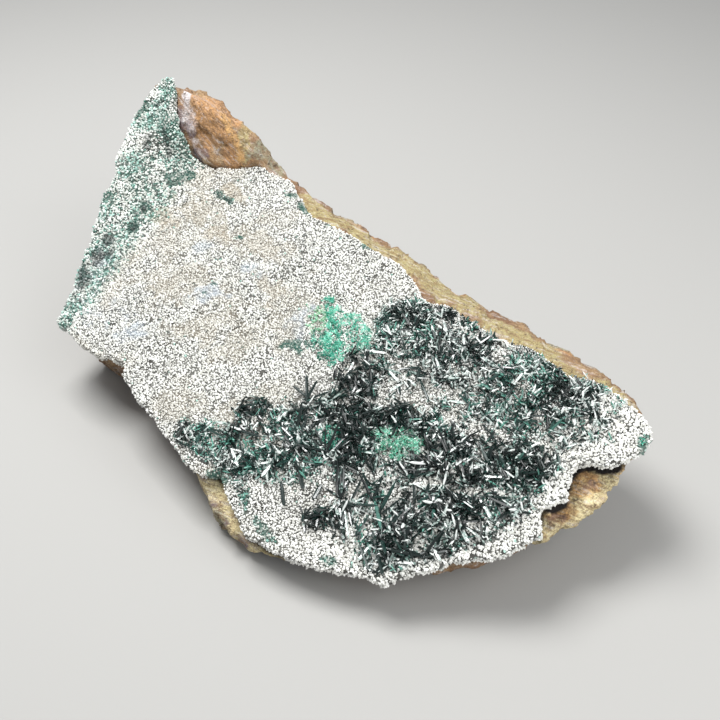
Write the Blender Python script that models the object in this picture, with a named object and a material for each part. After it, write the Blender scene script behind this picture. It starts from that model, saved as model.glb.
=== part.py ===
"""A mineral specimen: a wedge of host rock with a peak at one end, a thin druse crust over its
top, and mats of dark needle crystals with two bright green tufts.

The rock stands on the flat facet under it, on z = 0. X runs to the right, Y away from the
viewer and Z up. The top face is drawn in its own slanting frame, the slab frame: u along
the slab, v across it and w out of it. Lengths are in millimetres until a vertex is placed.
"""

import math

import bmesh
import bpy
import numpy as np
from mathutils import Matrix, Vector, noise

MM = 0.001

# The slab frame's place over the floor, and how the top face is turned and tilted
SLAB_ORIGIN = (8.3, -21.7, 29.0)
SLAB_YAW = -22.0
SLAB_TILT = 19.0
SLAB_ROLL = 3.0

# The crust's thickness, the gap that meshes which touch keep between them, and the gap
# under the crust, a little wider because the crust climbs steeply at the peak
CRUST_THICK = 2.4
TOUCH_GAP = 0.35
BED_GAP = 0.5

# How far the rock beside the crust's edge lies under the crust's top
RIM_STEP = 1.5

# The share of a mat's reach within which its crystals stand
ROOTED = 0.86

# The crust's edge as four sides, each from the corner it shares with the last one
CRUST_FRONT = (
    (-87.8, -9.8), (-81.4, -12.6), (-75.6, -15.2), (-70.4, -16.8), (-66.4, -16.0),
    (-60.2, -18.0), (-60.3, -20.6), (-56.0, -23.2), (-53.0, -26.1), (-47.9, -28.3),
    (-42.0, -32.1), (-36.7, -35.6), (-28.4, -40.2), (-21.4, -39.4), (-19.6, -42.2),
    (-16.2, -45.3), (-10.1, -50.9), (-4.0, -52.3), (3.5, -53.2), (13.5, -52.6),
    (20.1, -51.7), (25.5, -52.5), (27.2, -50.2), (34.2, -46.1), (40.0, -42.3),
    (45.6, -40.1), (49.6, -37.5), (55.4, -31.4),
)
CRUST_RIGHT = (
    (55.4, -31.4), (53.6, -27.0), (54.6, -24.4), (58.3, -21.4), (57.6, -17.4),
    (58.6, -12.5), (60.4, -11.1), (64.6, -10.7), (68.5, -8.3), (72.1, -3.8), (72.8, -0.6),
)
CRUST_BACK = (
    (-84.8, 69.4), (-82.6, 65.6), (-81.0, 61.2), (-78.2, 56.6), (-74.6, 53.0),
    (-67.6, 51.6), (-61.5, 52.7), (-53.6, 55.4), (-47.0, 53.2), (-41.6, 51.4),
    (-38.6, 48.0), (-34.8, 44.5), (-30.0, 40.2), (-20.8, 38.3), (-10.9, 34.5),
    (-0.3, 30.8), (4.8, 26.9), (8.6, 22.2), (11.4, 20.9), (15.6, 21.8), (20.4, 19.6),
    (26.3, 17.1), (32.2, 14.6), (38.6, 14.6), (44.2, 12.7), (51.3, 9.3), (57.0, 10.0),
    (63.5, 7.7), (70.4, 3.4), (72.8, -0.6),
)
CRUST_LEFT = (
    (-87.8, -9.8), (-87.4, 0.0), (-88.9, 8.2), (-89.4, 17.4), (-91.6, 28.9),
    (-90.9, 37.0), (-93.9, 45.3), (-93.4, 56.5), (-90.2, 64.6), (-87.8, 68.6), (-84.8, 69.4),
)
CRUST = (CRUST_FRONT, CRUST_RIGHT, CRUST_BACK, CRUST_LEFT)
CRUST_CELLS = (32, 11)
ROCK_CELLS = (34, 13)
BED_CELLS = (26, 3)

# How much wider than the lower tuft the hole for it in the centre mat is, each way
TUFT_CLEAR = np.array([1.16, 1.3])

# The seed of the uneven edges
NOISE_SEED = 5

# The side of the block that the facets are cut on, in metres, well past the rock
BLOCK = 0.5

# The rock's edge, in the same four sides: it stands out past the crust in four places
ROCK_FRONT = (
    (-86.6, -8.6), (-75.4, -13.6), (-66.0, -14.4), (-59.0, -17.6), (-52.0, -25.2),
    (-41.4, -31.2), (-31.0, -37.6), (-29.0, -41.0), (-25.6, -44.5), (-18.0, -49.4),
    (-12.1, -51.7), (1.1, -54.2), (4.6, -51.4), (20.0, -50.2), (33.6, -44.8),
    (45.0, -38.6), (55.0, -30.6),
)
ROCK_RIGHT = (
    (55.0, -30.6), (60.4, -25.6), (64.0, -21.9), (66.8, -18.3), (66.6, -16.5),
    (68.5, -13.6), (68.8, -8.2), (71.2, -2.4), (71.0, 1.4),
)
ROCK_BACK = (
    (-86.4, 74.4), (-79.0, 72.6), (-70.0, 69.6), (-61.0, 65.6), (-54.0, 61.6),
    (-48.6, 58.8), (-44.6, 56.6), (-41.7, 53.9), (-30.2, 49.8), (-22.7, 46.9),
    (-12.4, 44.2), (-5.0, 40.6), (8.7, 35.0), (21.6, 30.3), (34.2, 24.7), (46.0, 19.6),
    (55.0, 16.2), (61.8, 13.5), (68.2, 9.0), (71.0, 1.4),
)
ROCK_LEFT = (
    (-86.6, -8.6), (-88.4, 8.2), (-90.6, 28.9), (-93.4, 45.3), (-93.6, 56.5),
    (-91.8, 68.0), (-86.4, 74.4),
)

# Heights over the slab plane, as pairs of place and height
CREST_BY_V = ((-10, -1.2), (0, 1.7), (17, 4.0), (29, 5.5), (47, 8.9), (61, 12.8), (70, 16.6))
FOOT_BY_U = ((-80, 53.0), (-74, 52.0), (-64, 51.4), (-54, 54.6), (-46, 52.6), (-40, 50.5))
ROOF_V_BY_U = ((-86, 71.0), (-80, 68.8), (-72, 66.3), (-61, 61.4), (-52, 57.9), (-46, 55.4))
ROOF_BY_U = ((-86, 17.8), (-80, 17.2), (-72, 16.0), (-65, 14.5), (-56, 10.5), (-50, 5.0),
             (-46, -1.5), (-42, -4.5))
BACK_BY_U = ((-44, 52.6), (-38.6, 48.0), (-30, 40.2), (-10.9, 34.5), (4.8, 26.9),
             (11.4, 20.9), (26.3, 17.1), (44.2, 12.7), (63.5, 7.7), (72.8, -0.6))

# The rock's beds, which lie with the slab: each one's reach as a share of the top bed's,
# how uneven its edge is, the heights between which it lies, and how far its facets are
# turned, set in and leant against those of the top one
BEDS = ((1.0, 0.0, -14.0, None, (0.0, 0.0, 0.0)),
        (0.975, 2.6, -24.0, -12.0, (7.0, 0.9, -5.0)),
        (0.945, 4.0, -80.0, -22.0, (-6.0, 1.9, 3.0)))

# The facets that cut the rock's sides and underside: the way each one faces in plan, in
# degrees from +X towards +Y, how far under the outermost rim it starts, and how far it
# leans in under the rock
FACETS = (
    (-6, 3.2, 50), (-30, 5.5, 42), (-50, 3.0, 57), (-70, 5.5, 48), (-95, 2.2, 60),
    (-118, 4.5, 52), (-136, 3.6, 60), (-152, 9.0, 40), (-172, 11.0, 24), (174, 16.0, 34),
    (160, 22.0, 12), (138, 6.0, 6), (118, 16.0, 20), (100, 30.0, 34), (84, 10.0, 8),
    (66, 12.0, 22), (52, 7.0, 12), (44, 15.0, 36), (34, 10.0, 44), (14, 6.0, 44),
)

# Scoops broken out of the rock's sides: a point in plan and height, and a radius
CHIPS = (
    ((-20.0, 58.0, 15.0), 17.0), ((23.0, 26.0, 3.0), 12.0), ((-51.0, 72.0, 13.0), 13.0),
    ((-72.0, 49.0, 17.0), 12.0), ((-77.0, 18.0, 5.0), 14.0), ((-70.0, -8.0, 5.0), 12.0),
    ((-39.0, -50.0, 3.0), 11.0), ((56.0, -58.0, 0.0), 12.0), ((71.0, -22.0, 11.0), 12.0),
)

# The crystal mats: each a centre in the slab frame and a ring of points round it
UPPER_MAT = ((33.0, 4.0), (
    (64.0, -5.0), (62.5, 2.0), (56.0, 7.4), (51.3, 8.0), (43.0, 11.4), (32.0, 13.6),
    (20.4, 18.2), (11.4, 19.4), (6.0, 19.8), (1.6, 15.6), (1.8, 8.4), (8.0, 3.0),
    (14.5, -2.2), (20.5, -5.8), (28.0, -7.4), (39.6, -9.4), (52.0, -9.6)))
CENTRE_MAT = ((16.0, -17.0), (
    (56.4, -12.4), (53.4, -19.5), (46.0, -25.6), (33.0, -28.2), (19.7, -26.8), (8.4, -28.2),
    (-1.0, -27.0), (-9.0, -24.0), (-14.0, -20.4), (-13.0, -15.4), (-4.4, -8.6),
    (-2.4, -1.8), (1.6, 0.6), (5.8, -0.4), (10.4, -4.6), (19.2, -8.4), (29.3, -10.0),
    (40.0, -12.0), (52.0, -12.0)))
LEFT_MAT = ((-20.0, -31.0), (
    (2.4, -30.6), (-2.6, -35.0), (-15.9, -37.4), (-26.5, -38.0), (-37.0, -34.4),
    (-37.0, -29.4), (-27.3, -24.6), (-18.0, -25.4), (-10.0, -27.0)))
LOWER_MAT = ((32.0, -39.0), (
    (52.6, -26.0), (50.8, -33.6), (44.6, -39.2), (35.0, -44.8), (27.4, -50.2),
    (20.0, -49.6), (14.6, -45.4), (13.4, -40.6), (8.6, -36.4), (7.4, -31.6), (19.7, -30.4),
    (26.5, -31.2), (33.0, -31.4), (40.0, -30.4), (46.4, -28.8)))
DARK_CLUMP = ((-20.4, -20.0), (
    (-16.4, -19.0), (-17.4, -21.4), (-20.6, -22.8), (-24.4, -21.6), (-22.6, -18.2),
    (-19.4, -17.0)))
EDGE_CLUMP = ((7.6, -44.8), (
    (12.0, -45.4), (8.0, -48.2), (4.0, -47.6), (5.0, -43.2), (6.8, -41.0)))
UPPER_TUFT = ((-10.0, 6.0), (
    (0.4, 3.4), (-3.9, -0.9), (-8.0, 0.0), (-13.4, 1.0), (-17.5, 6.5), (-18.0, 11.0),
    (-15.6, 16.0), (-11.2, 12.6), (-5.4, 9.4)))
LOWER_TUFT = ((17.0, -19.4), (
    (23.4, -18.2), (20.0, -22.4), (14.4, -23.2), (10.6, -20.8), (14.4, -16.8),
    (20.6, -15.8)))


# A crystal's length and width, from and to: the mats' needles, the clumps' stubs and the
# fine crystals of the tufts
NEEDLES = ((5.0, 9.5), (1.0, 1.5))
STUBS = ((2.6, 4.4), (0.9, 1.3))
FINE = ((2.0, 3.4), (0.8, 1.2))

# Each mat's outline, its crystals' number, lengths and widths, its mound's height, its
# seed, the least angle its crystals stand at, and whether it is bright green
MATS = {
    "crystal_mat_upper": (UPPER_MAT, 41, *NEEDLES, 1.1, 11, 12.0, False),
    "crystal_mat_centre": (CENTRE_MAT, 37, *NEEDLES, 1.2, 29, 12.0, False),
    "crystal_mat_left": (LEFT_MAT, 19, *NEEDLES, 1.1, 13, 12.0, False),
    "crystal_mat_lower": (LOWER_MAT, 25, *NEEDLES, 1.1, 14, 12.0, False),
    "crystal_clump_dark": (DARK_CLUMP, 6, *STUBS, 2.0, 15, 12.0, False),
    "crystal_clump_edge": (EDGE_CLUMP, 6, *STUBS, 1.6, 16, 12.0, False),
    "green_tuft_upper": (UPPER_TUFT, 12, *FINE, 1.5, 17, 35.0, True),
    "green_tuft_lower": (LOWER_TUFT, 8, *FINE, 2.2, 18, 35.0, True),
}


def along(pairs, place):
    """A height, or another measure, read between the pairs it is given as."""
    return np.interp(place, [p[0] for p in pairs], [p[1] for p in pairs])


def crust_top(u, v):
    """The crust's upper face over the slab plane, in mm: a nearly flat field that sags
    towards the front and the tip, and a shoulder that climbs left of a fold line, up to
    the peak."""
    sag = 0.0030 * np.maximum(-v - 22.0, 0.0) ** 2 + 0.0009 * np.maximum(u - 22.0, 0.0) ** 2
    swell = 0.55 * np.sin(u / 12.5 + 0.8) * np.cos(v / 10.5 - 0.4)
    fold = -78.5 + 0.12 * v + np.maximum(v - 50.0, 0.0)
    climb = np.clip((fold - u) / 13.5, 0.0, 1.0) ** 1.25
    over = np.maximum(-91.5 - u, 0.0)
    return swell - sag + along(CREST_BY_V, v) * climb - 0.22 * over ** 1.6


def rock_top(u, v):
    """The rock's upper face, in mm: just under the crust's top where the crust lies on
    it, a bevelled rim behind the crust's back edge, a peak with a steep bulging front,
    and ledges under the crust at the front and the right."""
    under = crust_top(u, v) - RIM_STEP
    past = np.maximum(v - along(BACK_BY_U, u), 0.0)
    rim = under - 0.26 * past - 0.034 * past ** 2
    foot, roof_v = along(FOOT_BY_U, u), along(ROOF_V_BY_U, u)
    roof = along(ROOF_BY_U, u)
    climb = np.clip((v - foot) / (roof_v - foot), 0.0, 1.0)
    peak = -1.6 + (roof + 1.6) * (1.0 - (1.0 - climb) ** 1.5)
    peak = peak - 1.9 * np.maximum(v - roof_v, 0.0)
    on_peak = (u < -42.0) & (v > foot)
    left = u < -79.0 + 0.35 * (v - 56.0)
    brow = under - 1.9 * np.maximum(v - 69.0, 0.0)
    top = np.where(on_peak, np.where(left, brow, peak), rim)
    ledge = (u > 50.0) & (v < -6.0)
    top = np.where(ledge, np.minimum(top, -6.4 - 0.05 * (u - 60.0)), top)
    ochre = (v < -39.0) & (u < 4.0)
    return np.where(ochre, np.minimum(top, -4.4 - 0.12 * (-v - 40.0)), top)


def on_line(points, share):
    """Places along a line of points, each at its share of the line's length."""
    points = np.array(points, float)
    steps = np.hypot(*np.diff(points, axis=0).T)
    reach = np.concatenate([[0.0], np.cumsum(steps)]) / steps.sum()
    return np.stack([np.interp(share, reach, points[:, k]) for k in (0, 1)], axis=-1)


def patch(sides, s, t):
    """Points of the patch that four sides bound, by Coons' rule: the two pairs of facing
    sides are each blended across, and the blend of the corners is taken away once."""
    front, right, back, left = (on_line(line, share)
                                for line, share in zip(sides, (s, t, s, t)))
    s, t = s[:, None], t[:, None]
    corner = [np.array(p, float) for p in (sides[0][0], sides[0][-1], sides[2][0],
                                           sides[2][-1])]
    across = (1 - t) * front + t * back + (1 - s) * left + s * right
    return across - ((1 - s) * (1 - t) * corner[0] + s * (1 - t) * corner[1]
                     + (1 - s) * t * corner[2] + s * t * corner[3])


def grown(sides, by):
    """The same four sides moved outwards by so much, square to each one's run."""
    ring = []
    for line, outwards in zip(sides, (1.0, 1.0, -1.0, -1.0)):
        points = np.array(line, float)
        run = np.gradient(points, axis=0)
        run /= np.linalg.norm(run, axis=1)[:, None]
        ring.append(points + by * outwards * np.column_stack([run[:, 1], -run[:, 0]]))
    front, right, back, left = ring
    for a, i, b, j in ((front, 0, left, 0), (front, -1, right, 0), (back, 0, left, -1),
                       (back, -1, right, -1)):
        a[i] = b[j] = (a[i] + b[j]) / 2.0
    return ring


def slab_frame():
    """The slab frame's place and turn in the world, in metres."""
    turn = (Matrix.Rotation(math.radians(SLAB_YAW), 4, "Z")
            @ Matrix.Rotation(math.radians(SLAB_TILT), 4, "X")
            @ Matrix.Rotation(math.radians(-SLAB_ROLL), 4, "Y"))
    return Matrix.Translation(Vector(SLAB_ORIGIN) * MM) @ turn


def coords_of(bm):
    """A bmesh's vertex places as one array."""
    return np.array([v.co[:] for v in bm.verts])


def place(verts, coords):
    """Puts the vertices at these places, given in millimetres."""
    for vert, co in zip(verts, coords):
        vert.co = Vector(co) * MM


def new_object(name, bm, collection, frame=None, material=None):
    """An object that holds the bmesh, in the slab frame unless told otherwise. Its faces
    are made triangles, which are always flat, so that every cut and union is exact."""
    bmesh.ops.triangulate(bm, faces=bm.faces[:])
    bmesh.ops.recalc_face_normals(bm, faces=bm.faces)
    mesh = bpy.data.meshes.new(name)
    bm.to_mesh(mesh)
    bm.free()
    obj = bpy.data.objects.new(name, mesh)
    obj.matrix_world = slab_frame() if frame is None else frame
    collection.objects.link(obj)
    if material:
        mesh.materials.append(material)
    return obj


def helper(name, bm, collection, frame=None):
    """An object that only cuts or joins, and isn't part of the specimen."""
    obj = new_object(name, bm, collection, frame)
    obj.hide_render = True
    obj.display_type = "WIRE"
    return obj


def sheet(sides, cells, low, high, grow=0.0, reach=1.0, ragged=0.0):
    """A closed sheet over a patch, between a lower and an upper height function. Its rim
    can stand outside the patch by so much, and its plan can be drawn in and uneven."""
    bm = bmesh.new()
    bmesh.ops.create_grid(bm, x_segments=cells[0], y_segments=cells[1], size=0.5)
    bmesh.ops.triangulate(bm, faces=bm.faces[:], quad_method="FIXED")
    s, t = (coords_of(bm)[:, :2] + 0.5).T
    plan = patch(sides, s, t)
    lower_w, upper_w = low(*plan.T), high(*plan.T)
    if grow:
        rim = (np.minimum(s, t) < 0.001) | (np.maximum(s, t) > 0.999)
        plan[rim] = patch(grown(sides, grow), s[rim], t[rim])
    if ragged:
        plan = plan.mean(axis=0) + reach * (plan - plan.mean(axis=0))
        plan += ragged * np.array([noise.noise_vector(Vector((*p, 0.0)) / 13.0)[:2]
                                   for p in plan])
    grid = list(bm.verts)
    made = bmesh.ops.extrude_face_region(bm, geom=list(bm.faces))
    lower = [g for g in made["geom"] if isinstance(g, bmesh.types.BMVert)]
    flat = {tuple(vert.co[:2]): k for k, vert in enumerate(grid)}
    order = [flat[tuple(vert.co[:2])] for vert in lower]
    place(grid, np.column_stack([plan, upper_w]))
    place(lower, np.column_stack([plan, lower_w])[order])
    return bm


def modifier(obj, kind, **settings):
    """Adds a modifier with its settings."""
    made = obj.modifiers.new(kind.title(), kind)
    for key, value in settings.items():
        setattr(made, key, value)
    return made


def join(obj, other, operation):
    """Joins the other object to this one, or keeps what lies in both."""
    modifier(obj, "BOOLEAN", operation=operation, object=other, solver="EXACT")


def cut(obj, other):
    """Takes the other object away from this one."""
    join(obj, other, "DIFFERENCE")


def stone(name, colour, roughness):
    """A matt or glossy mineral surface."""
    material = bpy.data.materials.new(name)
    material.use_nodes = True
    shader = material.node_tree.nodes["Principled BSDF"]
    shader.inputs["Base Color"].default_value = (*colour, 1.0)
    shader.inputs["Roughness"].default_value = roughness
    shader.inputs["Metallic"].default_value = 0.0
    return material


def bisect(bm, point, normal):
    """Cuts away what lies past a plane and closes the cut."""
    bmesh.ops.bisect_plane(bm, geom=bm.verts[:] + bm.edges[:] + bm.faces[:], dist=1e-7,
                           plane_co=point, plane_no=normal, clear_outer=True)
    rim = [e for e in bm.edges if e.is_boundary]
    bmesh.ops.contextual_create(bm, geom=rim)


def facet_block(rim, shift):
    """The convex block that one bed's facets bound, each facet set against the rim's
    outermost point that way."""
    turned, inset, leant = shift
    bm = bmesh.new()
    bmesh.ops.create_cube(bm, size=BLOCK)
    for heading, drop, lean in FACETS:
        heading, lean = math.radians(heading + turned), math.radians(lean + leant)
        out = np.array([math.cos(heading), math.sin(heading), 0.0])
        outermost = rim[np.argmax(rim @ out)] - inset * MM * out
        normal = out * math.cos(lean) - np.array([0.0, 0.0, math.sin(lean)])
        bisect(bm, outermost - np.array([0.0, 0.0, drop * MM]), normal)
    return bm


def lumpy_rock_top(u, v):
    """The rock's upper face with its low lumps."""
    lumps = [noise.fractal(Vector((a / 9.0, b / 9.0, 3.0)), 0.9, 2.1, 4)
             for a, b in zip(u, v)]
    return rock_top(u, v) + 0.9 * np.array(lumps)


def build_rock(parts, helpers, material):
    """The host rock: three beds, one under another, cut by facets all round and below,
    with a few scoops out of its sides and the crust's bed taken out of its top."""
    sides = (ROCK_FRONT, ROCK_RIGHT, ROCK_BACK, ROCK_LEFT)
    level = Matrix.Identity(4)
    beds, rim = [], None
    for k, (reach, ragged, low, high, shift) in enumerate(BEDS):
        cells = ROCK_CELLS if k == 0 else BED_CELLS
        top = lumpy_rock_top if k == 0 else (lambda u, v, w=high: 0.0 * u + w)
        bm = sheet(sides, cells, lambda u, v, w=low: 0.0 * u + w, top, 0.0, reach, ragged)
        bm.transform(slab_frame())
        if k == 0:
            rim = coords_of(bm)[:len(bm.verts) // 2]
            beds.append(new_object("host_rock", bm, parts, level, material))
        else:
            beds.append(helper(f"rock_bed_{k}", bm, helpers, level))
        join(beds[k], helper(f"facets_{k}", facet_block(rim, shift), helpers, level),
             "INTERSECT")
    rock = beds[0]
    for bed in beds[1:]:
        join(rock, bed, "UNION")
    floor = bmesh.new()
    bmesh.ops.create_cube(floor, size=1.0)
    floor.transform(Matrix.Translation((0.0, 0.0, -0.5)))
    cut(rock, helper("floor", floor, helpers, level))
    for k, (centre, radius) in enumerate(CHIPS):
        ball = bmesh.new()
        bmesh.ops.create_icosphere(ball, subdivisions=2, radius=radius * MM)
        ball.transform(Matrix.Translation(Vector(centre) * MM))
        cut(rock, helper(f"chip_{k}", ball, helpers, level))
    bed = sheet(CRUST, CRUST_CELLS, lambda u, v: crust_top(u, v) - CRUST_THICK - BED_GAP,
                lambda u, v: crust_top(u, v) + 14.0, TOUCH_GAP)
    cut(rock, helper("crust_bed", bed, helpers))
    return rock


def build_crust(parts, material):
    """The druse crust: one thin sheet with a ragged edge and low swellings."""
    bm = sheet(CRUST, CRUST_CELLS, lambda u, v: crust_top(u, v) - CRUST_THICK, crust_top)
    return new_object("druse_crust", bm, parts, None, material)


def pad(centre, ring, height, rng):
    """The low lumpy mound that a mat's crystals grow from: a ball flattened on to the
    crust, as wide as the mat's ring of points and a little uneven on top."""
    centre, ring = np.array(centre), np.array(ring)
    bm = bmesh.new()
    bmesh.ops.create_uvsphere(bm, u_segments=24, v_segments=6, radius=1.0)
    ball = coords_of(bm)
    away = ring - centre
    angle = np.arctan2(away[:, 1], away[:, 0])
    order = np.argsort(angle)
    reach = np.hypot(*away.T)[order]
    angle = angle[order]
    turn = np.arctan2(ball[:, 1], ball[:, 0])
    wide = np.interp(turn, angle, reach, period=2 * math.pi)
    share = np.hypot(ball[:, 0], ball[:, 1])
    u = centre[0] + share * wide * np.cos(turn)
    v = centre[1] + share * wide * np.sin(turn)
    lumps = 1.0 + 0.35 * rng.uniform(-1.0, 1.0, len(ball))
    rise = np.where(ball[:, 2] > 0.0, height * ball[:, 2] * lumps, 1.2 * ball[:, 2])
    place(bm.verts, np.column_stack([u, v, crust_top(u, v) + TOUCH_GAP + rise]))
    return bm


def inside(point, ring):
    """True where the point lies inside the ring."""
    ring = np.array(ring)
    a, b = ring, np.roll(ring, -1, axis=0)
    crosses = (a[:, 1] > point[1]) != (b[:, 1] > point[1])
    level = np.where(a[:, 1] == b[:, 1], 1.0, b[:, 1] - a[:, 1])
    at = a[:, 0] + (point[1] - a[:, 1]) * (b[:, 0] - a[:, 0]) / level
    return bool((crosses & (point[0] < at)).sum() % 2)


def crystal(length, width, thick, tip):
    """One crystal along +Z from the origin: a four-sided prism, a little flattened, with
    a four-faced point."""
    bm = bmesh.new()
    bmesh.ops.create_cone(bm, cap_ends=True, segments=4, radius1=0.5, radius2=0.5, depth=1.0)
    top = max(bm.faces, key=lambda f: f.calc_center_median().z)
    point = bmesh.ops.poke(bm, faces=[top])["verts"][0]
    for vert in bm.verts:
        vert.co = Vector((vert.co.x * width, vert.co.y * thick,
                          (vert.co.z + 0.5) * (length - tip)))
    point.co.z = length
    bm.transform(Matrix.Scale(MM, 4))
    return bm


def sprout(rng, centre, ring, length, lean):
    """Where one crystal of a mat stands and how it leans: a start inside the ring, and a
    heading that keeps its tip inside too."""
    ring = np.array(ring)
    footing = np.array(centre) + ROOTED * (ring - np.array(centre))
    start = rng.uniform(footing.min(axis=0), footing.max(axis=0))
    while not inside(start, footing):
        start = rng.uniform(footing.min(axis=0), footing.max(axis=0))
    heading = rng.uniform(0.0, 2.0 * math.pi)
    for _ in range(12):
        run = length * math.cos(lean) * np.array([math.cos(heading), math.sin(heading)])
        if inside(start + run, ring):
            return start, heading, True
        heading += math.pi / 6.0
    return start + 0.3 * (np.array(centre) - start), heading, False


def build_mat(name, outline, count, lengths, widths, height, seed, least_lean, parts,
              helpers, over, material):
    """A mat: its mound and crystals joined into one solid, cut clear of the crust."""
    centre, ring = outline
    rng = np.random.default_rng(seed)
    mat = new_object(name, pad(centre, ring, height, rng), parts, None, material)
    grown_in = bpy.data.collections.new(f"{name}_crystals")
    helpers.children.link(grown_in)
    for k in range(count):
        length = rng.uniform(*lengths)
        width = rng.uniform(*widths)
        lean = math.radians(rng.uniform(least_lean, 55.0))
        start, heading, kept = sprout(rng, centre, ring, length, lean)
        if not kept:
            lean = math.radians(78.0)
        foot = float(crust_top(start[0], start[1])) - 0.4
        needle = crystal(length, width, 0.7 * width, 1.1 * width)
        turn = (Matrix.Rotation(heading, 4, "Z")
                @ Matrix.Rotation(math.pi / 2.0 - lean, 4, "Y")
                @ Matrix.Rotation(rng.uniform(0.0, math.pi), 4, "Z"))
        needle.transform(Matrix.Translation(Vector((*start, foot)) * MM) @ turn)
        helper(f"{name}_{k}", needle, grown_in)
    modifier(mat, "BOOLEAN", operation="UNION", operand_type="COLLECTION",
             collection=grown_in, solver="EXACT")
    cut(mat, over)
    return mat


def clear_scene():
    """Removes every object of the starting scene."""
    for obj in list(bpy.data.objects):
        bpy.data.objects.remove(obj, do_unlink=True)


def main():
    clear_scene()
    noise.seed_set(NOISE_SEED)
    parts = bpy.data.collections.new("mineral_specimen")
    helpers = bpy.data.collections.new("cutters")
    bpy.context.scene.collection.children.link(parts)
    bpy.context.scene.collection.children.link(helpers)
    helpers.hide_render = True

    host = stone("tan_host_rock", (0.42, 0.24, 0.10), 0.75)
    druse = stone("cream_druse", (0.72, 0.70, 0.62), 0.45)
    dark = stone("black_green_crystal", (0.012, 0.035, 0.028), 0.18)
    bright = stone("emerald_crystal", (0.03, 0.42, 0.25), 0.3)

    build_rock(parts, helpers, host)
    build_crust(parts, druse)

    below = sheet(CRUST, CRUST_CELLS, lambda u, v: crust_top(u, v) - 12.0,
                  lambda u, v: crust_top(u, v) + TOUCH_GAP, 3.0)
    over = helper("crust_clearance", below, helpers)

    made = {}
    for name, (outline, count, lengths, widths, height, seed, lean, bright_green) in MATS.items():
        made[name] = build_mat(name, outline, count, lengths, widths, height, seed, lean,
                               parts, helpers, over, bright if bright_green else dark)
    middle, ring = (np.array(points) for points in LOWER_TUFT)
    clearing = pad(middle, middle + TUFT_CLEAR * (ring - middle), 30.0,
                   np.random.default_rng(3))
    cut(made["crystal_mat_centre"], helper("tuft_clearance", clearing, helpers))


main()
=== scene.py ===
"""Looks for a mineral specimen: a wedge of brown host rock with a thin druse crust over its
top, mats of black-green needle crystals, and two tufts of bright green ones.

Lengths are in millimetres and become metres where a mesh is made. The top face is worked out
in the slab frame: u runs along the slab, v across it and w out of it. Outlines, patches and
the biggest crystals have their places there.
"""

import logging
import math
from dataclasses import astuple, dataclass, field
from enum import Enum

import bmesh
import bpy
import numpy as np
from mathutils import Matrix, Vector


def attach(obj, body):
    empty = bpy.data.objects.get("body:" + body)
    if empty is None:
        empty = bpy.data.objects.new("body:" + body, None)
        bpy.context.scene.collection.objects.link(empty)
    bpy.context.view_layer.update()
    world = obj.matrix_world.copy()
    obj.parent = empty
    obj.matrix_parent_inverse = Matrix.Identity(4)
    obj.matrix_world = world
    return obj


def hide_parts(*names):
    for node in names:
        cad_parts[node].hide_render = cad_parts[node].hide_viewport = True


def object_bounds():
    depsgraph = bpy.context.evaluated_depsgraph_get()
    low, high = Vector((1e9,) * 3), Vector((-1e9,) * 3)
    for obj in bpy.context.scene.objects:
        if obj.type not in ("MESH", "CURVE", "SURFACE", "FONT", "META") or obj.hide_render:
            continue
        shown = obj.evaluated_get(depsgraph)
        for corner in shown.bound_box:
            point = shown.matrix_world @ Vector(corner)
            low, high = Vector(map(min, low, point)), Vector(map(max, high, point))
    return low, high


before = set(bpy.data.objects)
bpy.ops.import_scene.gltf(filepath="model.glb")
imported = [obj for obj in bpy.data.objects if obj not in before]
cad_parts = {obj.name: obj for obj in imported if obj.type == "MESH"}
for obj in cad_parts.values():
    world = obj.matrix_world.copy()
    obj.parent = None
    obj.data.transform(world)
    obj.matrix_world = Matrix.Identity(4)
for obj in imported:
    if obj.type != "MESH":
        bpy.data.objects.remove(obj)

LOG = logging.getLogger("specimen")
CAD_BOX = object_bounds()
MM = 0.001
BODY = "root"
Pairs = tuple[tuple[float, float], ...]
Array = np.ndarray
Socket = bpy.types.NodeSocket


# Numbers and patterns that every piece uses


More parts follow.
